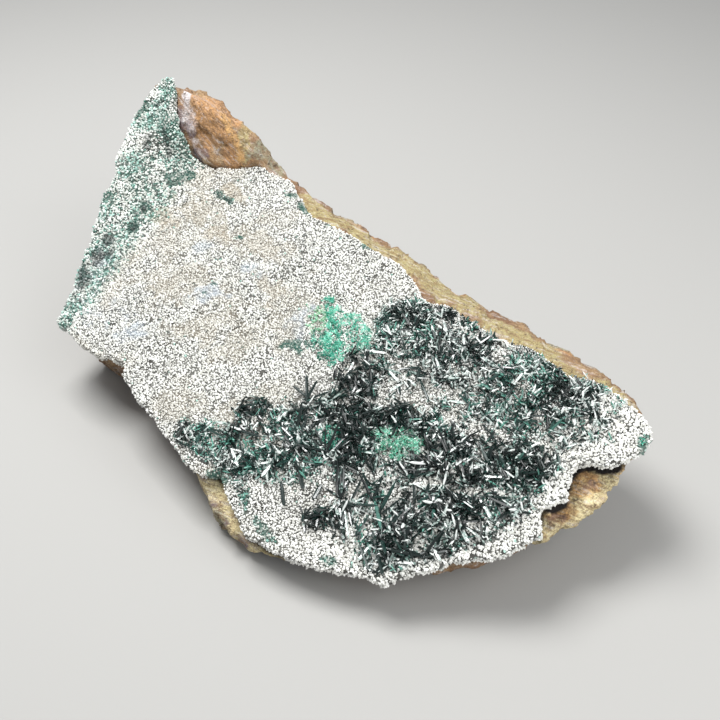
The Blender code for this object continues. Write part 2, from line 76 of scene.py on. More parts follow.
class Lattice:
    """Random numbers laid on a cube lattice, the same each time for one seed.

    Args:
        seed: The seed that the numbers are drawn from.
    """

    SIDE = 256
    MASK = 255

    def __init__(self, seed: int) -> None:
        """Draws the numbers."""
        rng = np.random.default_rng(seed)
        self.order = rng.permutation(self.SIDE)
        self.level = rng.uniform(-1.0, 1.0, self.SIDE)
        self.spot = rng.uniform(0.1, 0.9, (self.SIDE, 3))
        self.lean = rng.normal(0.0, 1.0, (self.SIDE, 3))

    def pick(self, cell: Array) -> Array:
        """Gives each cell of the lattice its place in the tables."""
        x, y, z = (cell & self.MASK).T
        return self.order[(self.order[(self.order[x] + y) & self.MASK] + z) & self.MASK]

    def smooth(self, points: Array, size: float) -> Array:
        """Value noise: the random levels at a cell's eight corners, blended by a curve that
        is flat at each corner, 6t^5 - 15t^4 + 10t^3.

        Args:
            points: Places, one row each, in mm.
            size: The side of a cell, in mm.

        Returns:
            One number a point, from -1 to 1.
        """
        scaled = points / size
        cell = np.floor(scaled).astype(int)
        t = scaled - cell
        t = t * t * t * (t * (t * 6.0 - 15.0) + 10.0)
        total = np.zeros(len(points))
        for corner in np.ndindex(2, 2, 2):
            weight = np.prod(np.where(np.array(corner) == 1, t, 1.0 - t), axis=1)
            total += weight * self.level[self.pick(cell + corner)]
        return total

    def rough(self, points: Array, size: float, octaves: int = 4) -> Array:
        """Adds up octaves of value noise, each half as large and half as strong."""
        return sum(self.smooth(points + 37.0 * k, size / 2.0 ** k) / 2.0 ** k
                   for k in range(octaves))

    def chips(self, points: Array, size: float) -> Array:
        """Splits space into cells round scattered spots, and gives each cell a plane of its
        own: a level plus a lean times the way from the spot.

        Args:
            points: Places, one row each, in mm.
            size: The spots' spacing, in mm.

        Returns:
            The plane's height at each point.
        """
        scaled = points / size
        cell = np.floor(scaled).astype(int)
        best = np.full(len(points), np.inf)
        height = np.zeros(len(points))
        for step in np.ndindex(3, 3, 3):
            here = cell + np.array(step) - 1
            pick = self.pick(here)
            away = scaled - here - self.spot[pick]
            apart = (away ** 2).sum(axis=1)
            plane = 0.5 * self.level[pick] + 0.5 * (away * self.lean[pick]).sum(axis=1)
            height = np.where(apart < best, plane, height)
            best = np.minimum(best, apart)
        return height


def along(pairs: Pairs, place: Array) -> Array:
    """Reads a height, or another measure, between the pairs it is given as."""
    return np.interp(place, [p[0] for p in pairs], [p[1] for p in pairs])


def inside(points: Array, ring: Pairs | Array) -> Array:
    """Tells which points lie in a ring: a ray to the right crosses it an odd number of times.

    Args:
        points: Places in the plane, one row each.
        ring: The ring's corners in order.

    Returns:
        True or False for each point.
    """
    a, b = np.array(ring)[None], np.roll(ring, -1, axis=0)[None]
    x, y = points[:, None, 0], points[:, None, 1]
    rise = np.where(a[..., 1] == b[..., 1], 1.0, b[..., 1] - a[..., 1])
    at = a[..., 0] + (y - a[..., 1]) * (b[..., 0] - a[..., 0]) / rise
    crosses = ((a[..., 1] > y) != (b[..., 1] > y)) & (x < at)
    return crosses.sum(axis=1) % 2 == 1


def from_edge(points: Array, ring: Pairs | Array) -> Array:
    """How far each point lies inside a ring: the distance to the nearest of its sides,
    taken as negative outside.

    Args:
        points: Places in the plane, one row each.
        ring: The ring's corners in order.

    Returns:
        A distance for each point.
    """
    a, b = np.array(ring)[None], np.roll(ring, -1, axis=0)[None]
    way = b - a
    rest = points[:, None] - a
    share = capped((rest * way).sum(-1) / np.maximum((way ** 2).sum(-1), 1e-9))
    apart = np.linalg.norm(rest - share[..., None] * way, axis=-1).min(axis=1)
    return np.where(inside(points, ring), apart, -apart)


def in_plane(plan: Array) -> Array:
    """Gives places in the slab's plane a third number, 0, for the lattices."""
    return np.column_stack([plan, np.zeros(len(plan))])


def capped(values: Array) -> Array:
    """Keeps numbers between 0 and 1."""
    return np.clip(values, 0.0, 1.0)


def unit(rows: Array) -> Array:
    """Scales each row to a length of one."""
    return rows / np.maximum(np.linalg.norm(rows, axis=-1, keepdims=True), 1e-9)


def colour(hex_value: str) -> tuple[float, float, float, float]:
    """Turns an sRGB hex value into a linear colour."""
    parts = [int(hex_value[i:i + 2], 16) / 255.0 for i in (1, 3, 5)]
    linear = [c / 12.92 if c <= 0.04045 else ((c + 0.055) / 1.055) ** 2.4 for c in parts]
    return (*linear, 1.0)


def add_node(tree: bpy.types.NodeTree, kind: str, links: dict | None = None,
             **settings: object) -> bpy.types.Node:
    """Adds a node with its settings, and fills its inputs.

    Args:
        tree: The material's node tree.
        kind: The node's Blender type.
        links: Each input's name or number, with the socket or value that goes in.
        settings: The node's own properties.

    Returns:
        The new node.
    """
    node = tree.nodes.new(kind)
    for key, value in settings.items():
        setattr(node, key, value)
    for key, value in (links or {}).items():
        if isinstance(value, Socket):
            tree.links.new(value, node.inputs[key])
        else:
            node.inputs[key].default_value = value
    return node


class Paint:
    """A material in the making: its shader's even values, the numbers that it reads from the
    vertices, noise of several sizes, and tints laid over each other.

    Args:
        name: The material's name.
        roughness: The shader's roughness.
        ior: Its index of refraction.
        masks: The names of the vertices' numbers.
        grains: For each noise, its lumps' size in mm and its octaves.
        harsh: How strongly a noise's small lumps show.
    """

    def __init__(self, name: str, roughness: float, ior: float = 1.5,
                 masks: tuple[str, ...] = (), grains: Pairs = (), harsh: float = 0.5) -> None:
        """Starts the material."""
        self.material = bpy.data.materials.new(name)
        self.material.use_nodes = True
        self.tree = self.material.node_tree
        self.shader = self.tree.nodes["Principled BSDF"]
        self.shader.inputs["Roughness"].default_value = roughness
        self.shader.inputs["IOR"].default_value = ior
        self.here = add_node(self.tree, "ShaderNodeTexCoord").outputs["Object"]
        self.mask = {label: add_node(self.tree, "ShaderNodeAttribute",
                                     attribute_name=label).outputs["Fac"] for label in masks}
        self.noise = [add_node(self.tree, "ShaderNodeTexNoise", {
            "Vector": self.here, "Scale": 1.0 / (size * MM), "Detail": octaves,
            "Roughness": harsh}).outputs[0] for size, octaves in grains]

    def lay(self, base: object, tint: object, driver: Socket, low: float = 0.0,
            high: float = 1.0, start: float = 0.0, end: float = 1.0) -> Socket:
        """Lays a tint over a base, by a share that follows a driver.

        Args:
            base: The colour underneath, as a hex value or a socket.
            tint: The colour on top, in the same way.
            driver: The number that the share follows.
            low: The driver's value where the share starts.
            high: Its value where the share ends.
            start: The share at the low value.
            end: The share at the high value.

        Returns:
            The socket that holds the result.
        """
        share = add_node(self.tree, "ShaderNodeMapRange",
                         {0: driver, 1: low, 2: high, 3: start, 4: end}).outputs[0]
        under, over = (colour(c) if isinstance(c, str) else c for c in (base, tint))
        return add_node(self.tree, "ShaderNodeMix", {0: share, 6: under, 7: over},
                        data_type="RGBA").outputs[2]

    def weigh(self, total: float, *parts: tuple[Socket, float]) -> Socket:
        """Adds drivers to a number, each times its weight."""
        for driver, weight in parts:
            total = add_node(self.tree, "ShaderNodeMath", {0: driver, 1: weight, 2: total},
                             operation="MULTIPLY_ADD").outputs[0]
        return total

    def done(self, base: Socket) -> bpy.types.Material:
        """Gives the shader its colour, and gives back the material."""
        self.tree.links.new(base, self.shader.inputs["Base Color"])
        return self.material


def new_object(name: str, data: bpy.types.ID) -> bpy.types.Object:
    """Makes an object of a mesh, a light or a camera, and puts it in the scene."""
    made = bpy.data.objects.new(name, data)
    bpy.context.scene.collection.objects.link(made)
    return made


def new_piece(name: str, verts: Array, faces: Array, material: bpy.types.Material,
              slot: str, replaced: tuple[str, ...], layers: dict[str, Array],
              smooth: bool = False) -> bpy.types.Object:
    """Makes a piece of the specimen from arrays and hands it to the frame.

    Args:
        name: The piece's name.
        verts: Vertex places in the world, one row each, in mm.
        faces: Vertex numbers, one row a face.
        material: What it is made of.
        slot: The record's slot that its finish comes from; not used.
        replaced: The solids that it stands for.
        layers: Named numbers, one a vertex.
        smooth: Whether its faces are shaded as one curved surface.

    Returns:
        The new object.
    """
    mesh = bpy.data.meshes.new(name)
    corners = faces.shape[1]
    mesh.vertices.add(len(verts))
    mesh.vertices.foreach_set("co", (verts * MM).astype(np.float32).ravel())
    mesh.loops.add(faces.size)
    mesh.loops.foreach_set("vertex_index", faces.astype(np.int32).ravel())
    mesh.polygons.add(len(faces))
    mesh.polygons.foreach_set("loop_start", np.arange(0, faces.size, corners, dtype=np.int32))
    mesh.polygons.foreach_set("use_smooth", np.full(len(faces), smooth))
    mesh.update(calc_edges=True)
    for label, values in layers.items():
        layer = mesh.attributes.new(label, "FLOAT", "POINT")
        layer.data.foreach_set("value", values.astype(np.float32))
    mesh.materials.append(material)
    piece = new_object(name, mesh)
    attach(piece, BODY)
    if replaced:
        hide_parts(*replaced)
    LOG.info("%s: %d triangles", name, len(faces) * (corners - 2))
    return piece


# The slab that everything lies on


@dataclass(frozen=True)
class Slab:
    """The slanting top face: its place, its turn and tilt, and the crust's outline and
    heights, as the solids have them."""

    origin: tuple[float, float, float] = (8.3, -21.7, 29.0)
    yaw: float = -22.0
    tilt: float = 19.0
    roll: float = 3.0
    thick: float = 2.4
    droop_from: float = 22.0
    droop: tuple[float, float] = (0.0030, 0.0009)
    swell: float = 0.55
    climb: float = 13.5
    tip_over: float = -91.5
    front: Pairs = ((-87.8, -9.8), (-81.4, -12.6), (-75.6, -15.2), (-70.4, -16.8), (-66.4, -16),
        (-60.2, -18), (-60.3, -20.6), (-56, -23.2), (-53, -26.1), (-47.9, -28.3), (-42, -32.1),
        (-36.7, -35.6), (-28.4, -40.2), (-21.4, -39.4), (-19.6, -42.2), (-16.2, -45.3),
        (-10.1, -50.9), (-4, -52.3), (3.5, -53.2), (13.5, -52.6), (20.1, -51.7), (25.5, -52.5),
        (27.2, -50.2), (34.2, -46.1), (40, -42.3), (45.6, -40.1), (49.6, -37.5), (55.4, -31.4))
    right: Pairs = ((55.4, -31.4), (53.6, -27), (54.6, -24.4), (58.3, -21.4), (57.6, -17.4),
        (58.6, -12.5), (60.4, -11.1), (64.6, -10.7), (68.5, -8.3), (72.1, -3.8), (72.8, -0.6))
    back: Pairs = ((-84.8, 69.4), (-82.6, 65.6), (-81, 61.2), (-78.2, 56.6), (-74.6, 53),
        (-67.6, 51.6), (-61.5, 52.7), (-53.6, 55.4), (-47, 53.2), (-41.6, 51.4), (-38.6, 48),
        (-34.8, 44.5), (-30, 40.2), (-20.8, 38.3), (-10.9, 34.5), (-0.3, 30.8), (4.8, 26.9),
        (8.6, 22.2), (11.4, 20.9), (15.6, 21.8), (20.4, 19.6), (26.3, 17.1), (32.2, 14.6),
        (38.6, 14.6), (44.2, 12.7), (51.3, 9.3), (57, 10), (63.5, 7.7), (70.4, 3.4), (72.8, -0.6))
    left: Pairs = ((-87.8, -9.8), (-87.4, 0), (-88.9, 8.2), (-89.4, 17.4), (-91.6, 28.9),
        (-90.9, 37), (-93.9, 45.3), (-93.4, 56.5), (-90.2, 64.6), (-87.8, 68.6), (-84.8, 69.4))
    crest: Pairs = ((-10, -1.2), (0, 1.7), (17, 4.0), (29, 5.5), (47, 8.9), (61, 12.8), (70, 16.6))

    def matrix(self) -> Matrix:
        """Gives the slab frame in the world, with its place in mm."""
        return (Matrix.Translation(Vector(self.origin))
                @ Matrix.Rotation(math.radians(self.yaw), 4, "Z")
                @ Matrix.Rotation(math.radians(self.tilt), 4, "X")
                @ Matrix.Rotation(math.radians(-self.roll), 4, "Y"))

    def world(self, points: Array) -> Array:
        """Takes places from the slab frame to the world, in mm."""
        matrix = np.array(self.matrix())
        return points @ matrix[:3, :3].T + matrix[:3, 3]

    def turned(self, ways: Array) -> Array:
        """Turns directions from the slab frame to the world."""
        return ways @ np.array(self.matrix())[:3, :3].T

    def local(self, points: Array) -> Array:
        """Takes places from the world to the slab frame, in mm."""
        matrix = np.array(self.matrix().inverted())
        return points @ matrix[:3, :3].T + matrix[:3, 3]

    def top(self, u: Array, v: Array) -> Array:
        """The crust's upper face: a nearly flat field that sags towards the front and the
        tip, and a shoulder that climbs left of a fold line, up to the peak."""
        sag = sum(rate * np.maximum(way - self.droop_from, 0.0) ** 2
                  for rate, way in zip(self.droop, (-v, u)))
        swell = self.swell * np.sin(u / 12.5 + 0.8) * np.cos(v / 10.5 - 0.4)
        climb = capped(self.past_fold(u, v) / self.climb) ** 1.25
        over = np.maximum(self.tip_over - u, 0.0)
        return swell - sag + along(self.crest, v) * climb - 0.22 * over ** 1.6

    def past_fold(self, u: Array, v: Array) -> Array:
        """How far a place lies left of the fold where the shoulder starts."""
        return -78.5 + 0.12 * v + np.maximum(v - 50.0, 0.0) - u

    def ring(self) -> Array:
        """The crust's outline as one ring of corners."""
        return np.array(self.front[:-1] + self.right[:-1] + self.back[:0:-1]
                        + self.left[:0:-1], float)

    def plan(self, s: Array, t: Array) -> Array:
        """Points of the patch that the four sides bound, by Coons' rule: the two pairs of
        facing sides are blended across, and the corners' blend is taken away once."""
        front, right, back, left = (self.on_line(line, share) for line, share in
                                    zip((self.front, self.right, self.back, self.left),
                                        (s, t, s, t)))
        s, t = s[:, None], t[:, None]
        across = (1 - t) * front + t * back + (1 - s) * left + s * right
        near, far = ((1 - s) * np.array(line[0]) + s * np.array(line[-1])
                     for line in (self.front, self.back))
        return across - (1 - t) * near - t * far

    @staticmethod
    def on_line(points: Pairs, share: Array) -> Array:
        """Places along a line of points, each at its share of the line's length."""
        line = np.array(points, float)
        steps = np.hypot(*np.diff(line, axis=0).T)
        reach = np.concatenate([[0.0], np.cumsum(steps)]) / steps.sum()
        return np.stack([np.interp(share, reach, line[:, k]) for k in (0, 1)], axis=-1)


SLAB = Slab()


@dataclass(frozen=True)
class Blot:
    """A soft-edged patch on the slab: its middle, its half-widths along u and v, its turn in
    degrees and its strength."""

    u: float
    v: float
    wide: float
    deep: float
    turn: float = 0.0
    strength: float = 1.0


def stained(points: Array, marks: tuple[Blot, ...], lattice: Lattice,
            waver: float = 0.45, grain: float = 3.0) -> Array:
    """How strongly a set of blots marks each place: 1 at a blot's middle, falling to 0 past
    its rim, where the distance is made uneven by noise.

    Args:
        points: Places in the slab frame.
        marks: The patches.
        lattice: The noise that makes their rims uneven.
        waver: How uneven the rims are.
        grain: The unevenness's size, in mm.

    Returns:
        A share from 0 to 1 for each point.
    """
    uneven = waver * lattice.rough(points, grain, 3)
    mark = np.zeros(len(points))
    for blot in marks:
        turn = math.radians(blot.turn)
        du, dv = points[:, 0] - blot.u, points[:, 1] - blot.v
        x = (du * math.cos(turn) + dv * math.sin(turn)) / blot.wide
        y = (dv * math.cos(turn) - du * math.sin(turn)) / blot.deep
        share = capped((1.25 - np.hypot(x, y) + uneven) / 0.5)
        mark = np.maximum(mark, blot.strength * share)
    return mark


def blots(*rows: tuple[float, ...]) -> tuple[Blot, ...]:
    """Makes patches from their numbers, one row each."""
    return tuple(Blot(*row) for row in rows)


# Crystals, big and small


@dataclass
class Crystals:
    """A batch of crystals, each a small prism or double pyramid along its own axis.

    A crystal's vertices are its foot plus the axis times a station's place, plus a circle
    of corners round the axis times the station's width there. Both ends are points.
    """

    foot: Array
    axis: Array
    length: Array
    width: Array
    flat: Array
    spin: Array
    stations: Pairs
    sides: int
    uneven: float
    seed: int
    sunk: float = 0.12

    def mesh(self) -> tuple[Array, Array]:
        """Works out the vertices and the triangles of the whole batch.

        Returns:
            Vertex places in mm, and three vertex numbers a face.
        """
        rng = np.random.default_rng(self.seed)
        count, rings, k = len(self.foot), len(self.stations), self.sides
        axis = unit(self.axis)
        helper = np.where(np.abs(axis[:, 2:]) < 0.9, [[0.0, 0.0, 1.0]], [[1.0, 0.0, 0.0]])
        across = unit(np.cross(axis, helper))
        third = np.cross(axis, across)
        angle = self.spin[:, None] + np.arange(k) * 2.0 * math.pi / k
        loose = 1.0 + self.uneven * rng.uniform(-1.0, 1.0, (count, rings, k))
        slide = self.uneven * rng.uniform(-0.5, 0.5, (count, rings, k))
        place = np.array([s[0] for s in self.stations])
        girth = np.array([s[1] for s in self.stations])
        half = 0.5 * self.width[:, None, None] * girth[None, :, None] * loose
        x = half * np.cos(angle)[:, None, :]
        y = half * np.sin(angle)[:, None, :] * self.flat[:, None, None]
        z = (place[None, :, None] + slide * 0.3) * self.length[:, None, None]
        ring = (self.foot[:, None, None, :] + z[..., None] * axis[:, None, None, :]
                + x[..., None] * across[:, None, None, :]
                + y[..., None] * third[:, None, None, :])
        low = self.foot - axis * (self.sunk * self.length)[:, None]
        sway = self.uneven * 0.3 * self.width * rng.uniform(-1.0, 1.0, count)
        high = self.foot + axis * self.length[:, None] + across * sway[:, None]
        verts = np.concatenate([low[:, None], ring.reshape(count, rings * k, 3),
                                high[:, None]], axis=1)
        return verts.reshape(-1, 3), self.faces(count, rings, k)

    @staticmethod
    def faces(count: int, rings: int, k: int) -> Array:
        """The triangles: a fan from the low point, bands between rings, a fan to the tip."""
        here = np.arange(k)
        after = (here + 1) % k
        fans = [np.stack([np.zeros(k, int), 1 + after, 1 + here], axis=1)]
        for r in range(rings - 1):
            a, b = 1 + r * k + here, 1 + r * k + after
            c, d = b + k, a + k
            fans += [np.stack([a, b, c], axis=1), np.stack([a, c, d], axis=1)]
        last = 1 + (rings - 1) * k
        fans.append(np.stack([last + here, last + after, np.full(k, 1 + rings * k)], axis=1))
        one = np.concatenate(fans)
        step = (2 + rings * k) * np.arange(count)
        return (one[None] + step[:, None, None]).reshape(-1, 3)

    def spread(self, values: Array) -> Array:
        """Repeats one value a crystal for each of its vertices."""
        return np.repeat(values, 2 + len(self.stations) * self.sides)


# The host rock


@dataclass(frozen=True)
class LimoniteStainedRock:
    """Fine-grained rock stained by iron oxides and broken by hand: matt, gritty, brown to
    golden, with grey-olive and violet patches where the stain differs."""

    tan: str = "#ab8f68"
    brown: str = "#7e6046"
    rust: str = "#c49563"
    gold: str = "#b3a876"
    # Pale ochre of the ledges: partly their own colour, partly painted light that lifts them out
    # of the crust's shadow.
    sand_and_painted_light: str = "#eadcaa"
    amber: str = "#dcad6e"
    olive: str = "#9c9a80"
    violet: str = "#74666d"
    pale: str = "#dcd6d6"
    speck: str = "#3b2f25"
    # Near-black painted shadow on the ledges just under the crust's overhanging edge.
    crevice_shadow: str = "#1b1613"
    roughness: float = 0.82
    patch: float = 7.0
    mottle: float = 2.6
    streak: float = 1.1
    drawn_out: float = 8.0
    fine: float = 1.21
    grit: float = 0.55
    harsh: float = 0.62
    bumps: float = 0.6
    down_peak: tuple[float, float, float] = (22.5, -11.4, -12.1)
    along_beds: tuple[float, float, float] = (1.0, -0.1, 0.0)

    def material(self, slab: Slab) -> bpy.types.Material:
        """Makes the material from the masks that the rock's vertices carry. Each stain's
        border is broken up by noise, and fine streaks run down the peak and along the beds.

        Args:
            slab: The slab whose turn the streaks follow.

        Returns:
            The material.
        """
        stains = ("rust", "gold", "sand_and_painted_light", "amber", "olive", "violet", "pale")
        paint = Paint("limonite_stained_rock", self.roughness, 1.5, (*stains, "peak", "crevice_shadow"),
                      ((self.patch, 6.0), (self.mottle, 6.0), (self.fine, 5.0),
                       (self.grit, 3.0)), self.harsh)
        patches, mottle, fine, grit = paint.noise
        streaks = paint.lay(self.drawn(paint, slab, self.along_beds),
                            self.drawn(paint, slab, self.down_peak), paint.mask["peak"])
        uneven = paint.weigh(-1.2, (mottle, 1.5), (streaks, 0.9))
        veins = add_node(paint.tree, "ShaderNodeMath", {0: mottle, 1: 0.5},
                         operation="PINGPONG").outputs[0]
        base = paint.lay(self.brown, self.tan, patches, 0.38, 0.62)
        for label in stains:
            stain = paint.weigh(0.0, (paint.mask[label], 1.0), (uneven, 1.0))
            base = paint.lay(base, getattr(self, label), stain, 0.3, 0.85)
        for tint, driver, *span in (
                (self.brown, streaks, 0.5, 0.66, 0.0, 0.7),
                (self.pale, streaks, 0.34, 0.48, 0.5, 0.0),
                (self.brown, veins, 0.47, 0.5, 0.0, 0.7),
                (self.speck, fine, 0.56, 0.68, 0.0, 0.8),
                (self.pale, fine, 0.3, 0.42, 0.35, 0.0),
                (self.brown, grit, 0.3, 0.6, 0.5, 0.0),
                # Painted shadow: near-black along the ledges where the crust overhangs them.
                (self.crevice_shadow, paint.mask["crevice_shadow"], 0.2, 0.9)):
            base = paint.lay(base, tint, driver, *span)
        bump = add_node(paint.tree, "ShaderNodeBump", {
            "Strength": 0.9, "Distance": self.bumps * MM,
            "Height": paint.weigh(0.0, (fine, 1.0), (grit, 1.0), (streaks, 1.0))})
        paint.tree.links.new(bump.outputs["Normal"], paint.shader.inputs["Normal"])
        return paint.done(base)

    def drawn(self, paint: Paint, slab: Slab, way: tuple[float, float, float]) -> Socket:
        """Adds noise that is drawn out along a direction given in the slab frame."""
        turn = Vector((0.0, 0.0, 1.0)).rotation_difference(Vector(slab.turned(np.array(way))))
        there = add_node(paint.tree, "ShaderNodeMapping", {
            "Vector": paint.here, "Rotation": turn.to_euler(),
            "Scale": (1.0, 1.0, self.drawn_out)}, vector_type="TEXTURE").outputs[0]
        return add_node(paint.tree, "ShaderNodeTexNoise", {
            "Vector": there, "Scale": 1.0 / (self.streak * MM), "Detail": 4.0,
            "Roughness": self.harsh}).outputs[0]


@dataclass
class HostRock:
    """The broken block: the solid's shape with chipped planes, bedding and grit on it."""

    slab: Slab
    voxel: float = 0.85
    planes: Pairs = ((9.0, 1.0), (3.6, 0.45), (2.0, 0.25))
    lumps: Pairs = ((7.0, 0.5), (1.5, 0.16))
    bed_step: float = 2.8
    bed_depth: float = 0.35
    finish: LimoniteStainedRock = field(default_factory=LimoniteStainedRock)
    stains: dict[str, tuple[Blot, ...]] = field(default_factory=lambda: {
        "rust": blots((-68, 61, 9, 8, -10), (-60, 56.5, 8, 4), (-20, 47, 12, 1.6, -18, 0.7),
                      (14, 32, 12, 1.5, -24), (46, 19, 9, 1.6, -24, 0.8)),
        "gold": blots((-58.5, 59, 2.5, 6, 20, 0.8), (-34, 47, 7, 2.6, -30),
                      (-12, 39, 18, 3.6, -16), (12, 29, 14, 5, -28), (40, 17, 20, 4, -18),
                      (62, 9, 8, 3, -30), (-5, -51, 16, 6, -8)),
        # The ledges' pale ochre: partly their own colour, partly painted light against the crust's
        # shadow.
        "sand_and_painted_light": blots((62, -14, 10, 10), (57, -27, 7, 7), (-22, -44, 8, 6, -40),
                      (-14, -50, 8, 5, -20, 0.8)),
        "olive": blots((-54, 60, 3, 6, -10), (-49, 57.5, 4, 2.4, -35), (-28, 51, 12, 2.4, -25),
                       (5, 39, 20, 2.6, -24), (44, 22, 20, 2.6, -24), (-20, -50, 6, 4, -30, 0.8)),
        "amber": blots((60.6, -14, 4.6, 4.6, 40, 0.8), (57, -22, 4, 5, 0, 0.75),
                       (66, -8, 3, 3, 0, 0.5), (40, 13, 12, 1.6, -20, 0.7),
                       (60, 8, 8, 1.6, -28, 0.8), (-62.3, 59.6, 6.5, 1.8, -48, 0.9)),
        "violet": blots((-79, 58.5, 1.6, 6, 14, 0.9), (-75.4, 57.6, 1.6, 2.6, 30),
                        (-72, 54.2, 4, 1.2, -10, 0.8), (62, -14.6, 2.4, 1.4, 30, 0.6),
                        (57, -25.6, 2.6, 2.2, 30, 0.55), (-21.9, -45.4, 1.8, 1.4, 0, 0.6),
                        (-17.4, -48.8, 1.6, 1, -30, 0.5), (-12, -51, 3, 1.2, -10, 0.7)),
        "pale": blots((-78.6, 64.5, 1.8, 4.6, 24, 0.9), (-73.8, 55.6, 2.2, 1.4, 0, 0.8),
                      (-76, 60, 2, 4.4, 24, 0.6), (-64.7, 56.4, 0.9, 0.5), (-66, 55.2, 0.8, 0.5)),
    })
    ledges: tuple[Blot, ...] = blots((62, -18, 12, 16), (-14, -46, 22, 9))

    def build(self) -> bpy.types.Object:
        """Makes the piece that stands for the rock's solid."""
        points, quads, normals = self.fine_copy()
        inner = self.slab.local(points)
        points = points + normals * self.relief(points, inner, normals)[:, None]
        low, high = (np.array(corner) / MM for corner in CAD_BOX)
        points = np.clip(points, low, high)
        lattice = Lattice(21)
        layers = {label: stained(inner, marks, lattice, 0.45, 5.0)
                  for label, marks in self.stains.items()}
        layers["peak"] = ((inner[:, 0] < -44.0) & (inner[:, 1] > 48.0)).astype(float)
        edge = from_edge(inner[:, :2], self.slab.ring()) + 0.5 * lattice.rough(points, 2.5, 3)
        # Painted shadow under the crust's overhang: full on the ledges under the crust, fading out
        # just past its rim.
        layers["crevice_shadow"] = (stained(inner, self.ledges, lattice, 0.1)
                             * capped(1.0 + (edge + 0.1) / 0.6))
        return new_piece("host_rock_broken", points, quads, self.finish.material(self.slab),
                         "host_rock", ("host_rock",), layers, smooth=True)

    def fine_copy(self) -> tuple[Array, Array, Array]:
        """Copies the solid's mesh and lays an even grid of small faces over it.

        Returns:
            Vertex places in mm, four vertex numbers a face, and the vertices' normals.
        """
        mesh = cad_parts["host_rock"].data.copy()
        joined = bmesh.new()
        joined.from_mesh(mesh)
        bmesh.ops.remove_doubles(joined, verts=joined.verts, dist=0.01 * MM)
        joined.to_mesh(mesh)
        joined.free()
        rough = new_object("rock_grid", mesh)
        grid = rough.modifiers.new("grid", "REMESH")
        grid.mode = "VOXEL"
        grid.voxel_size = self.voxel * MM
        shape = bpy.data.meshes.new_from_object(
            rough.evaluated_get(bpy.context.evaluated_depsgraph_get()))
        read = []
        for items, label, width, kind in ((shape.vertices, "co", 3, np.float32),
                                          (shape.vertex_normals, "vector", 3, np.float32),
                                          (shape.loops, "vertex_index", 1, np.int32)):
            values = np.empty(len(items) * width, kind)
            items.foreach_get(label, values)
            read.append(values)
        bpy.data.objects.remove(rough)
        bpy.data.meshes.remove(shape)
        points, normals = (values.reshape(-1, 3).astype(float) for values in read[:2])
        return points / MM, read[2].reshape(-1, 4), normals

    def relief(self, points: Array, inner: Array, normals: Array) -> Array:
        """How far each vertex moves out: tilted planes in cells of two sizes, lumps of two
        sizes, and grooves between beds on the sides. All of it fades where the crust lies
        and at the foot.

        Args:
            points: Places in the world, in mm.
            inner: The same places in the slab frame.
            normals: The surface's normals there.

        Returns:
            A distance in mm for each vertex.
        """
        lattice = Lattice(11)
        out = np.zeros(len(points))
        for size, depth in self.planes:
            out += depth * np.clip(lattice.chips(points, size), -1.0, 1.0)
        for size, depth in self.lumps:
            out += depth * lattice.rough(points, size)
        upright = np.abs(normals @ np.array(self.slab.matrix())[:3, 2])
        layer = inner[:, 2] / self.bed_step + 0.7 * lattice.rough(points, 14.0, 3)
        groove = np.abs(layer - np.floor(layer) - 0.5) * 2.0
        out -= self.bed_depth * groove ** 4 * capped(1.4 - 1.6 * upright)
        u, v, w = inner.T
        under = self.slab.top(u, v) - self.slab.thick - w
        edge = from_edge(inner[:, :2], self.slab.ring())
        covered = capped((edge + 3.0) / 2.5) * capped(3.0 - under)
        out *= 1.0 - covered
        return out * capped(points[:, 2] / 2.5 - 0.1)


# The druse crust


def growth(plan: Array) -> Array:
    """How thickly the needles stand at each place of the slab: from 0 in the gaps where the
    crust is bare to 1 where they are thickest."""
    return capped(0.6 + 1.2 * Lattice(61).rough(in_plane(plan), 3.4, 3))


@dataclass(frozen=True)
class Druse:
    """A crust of tiny pale crystals: each is cream-white and slightly glassy, the gaps between
    them are dark, partly the ground's own colour and partly painted shade, and tan, bluish and
    teal stains run through them."""

    white: str = "#f6f6f2"
    cream: str = "#cfcfc8"
    # Dark grey ground between the grains: partly its own colour, partly painted shade in the gaps.
    gap_shade: str = "#393832"
    tan: str = "#b5aa96"
    blue: str = "#c3cdd8"
    teal: str = "#9ccabd"
    moss: str = "#2b6154"
    # Dark teal ground between the grains where stained: partly the stain, partly painted shade in
    # the gaps.
    teal_gap_shade: str = "#3f6459"
    # Used for the dark marks and lone dark grains, and as painted shade on the ground and grains
    # under the needle mats.
    dark: str = "#26322f"
    roughness: float = 0.55
    ground_roughness: float = 0.8
    mottle: float = 5.0

    def material(self, name: str, grains: bool) -> bpy.types.Material:
        """Makes the material of the grains, or of the sheet that they stand on."""
        paint = Paint(name, self.roughness if grains else self.ground_roughness, 1.54,
                      ("tan", "blue", "teal", "dark") + ("shade",) * grains,
                      ((self.mottle, 4.0),))
        mottle, = paint.noise
        if grains:
            shade = paint.mask["shade"]
            base = paint.lay(self.cream, self.white, shade)
            base = paint.lay(base, self.tan, mottle, 0.5, 0.75, 0.0, 0.12)
            green = paint.lay(self.moss, self.teal, shade, 0.35, 0.85)
        else:
            # The ground between the grains is dark, partly its own colour and partly painted shade
            # in the gaps; teal-dark where stained.
            base = paint.lay(self.gap_shade, self.cream, mottle, 0.35, 0.65, 0.0, 0.2)
            green = self.teal_gap_shade
        for label, tint in (("tan", self.tan), ("blue", self.blue), ("teal", green),
                            ("dark", self.dark)):
            base = paint.lay(base, tint, paint.mask[label])
        return paint.done(base)


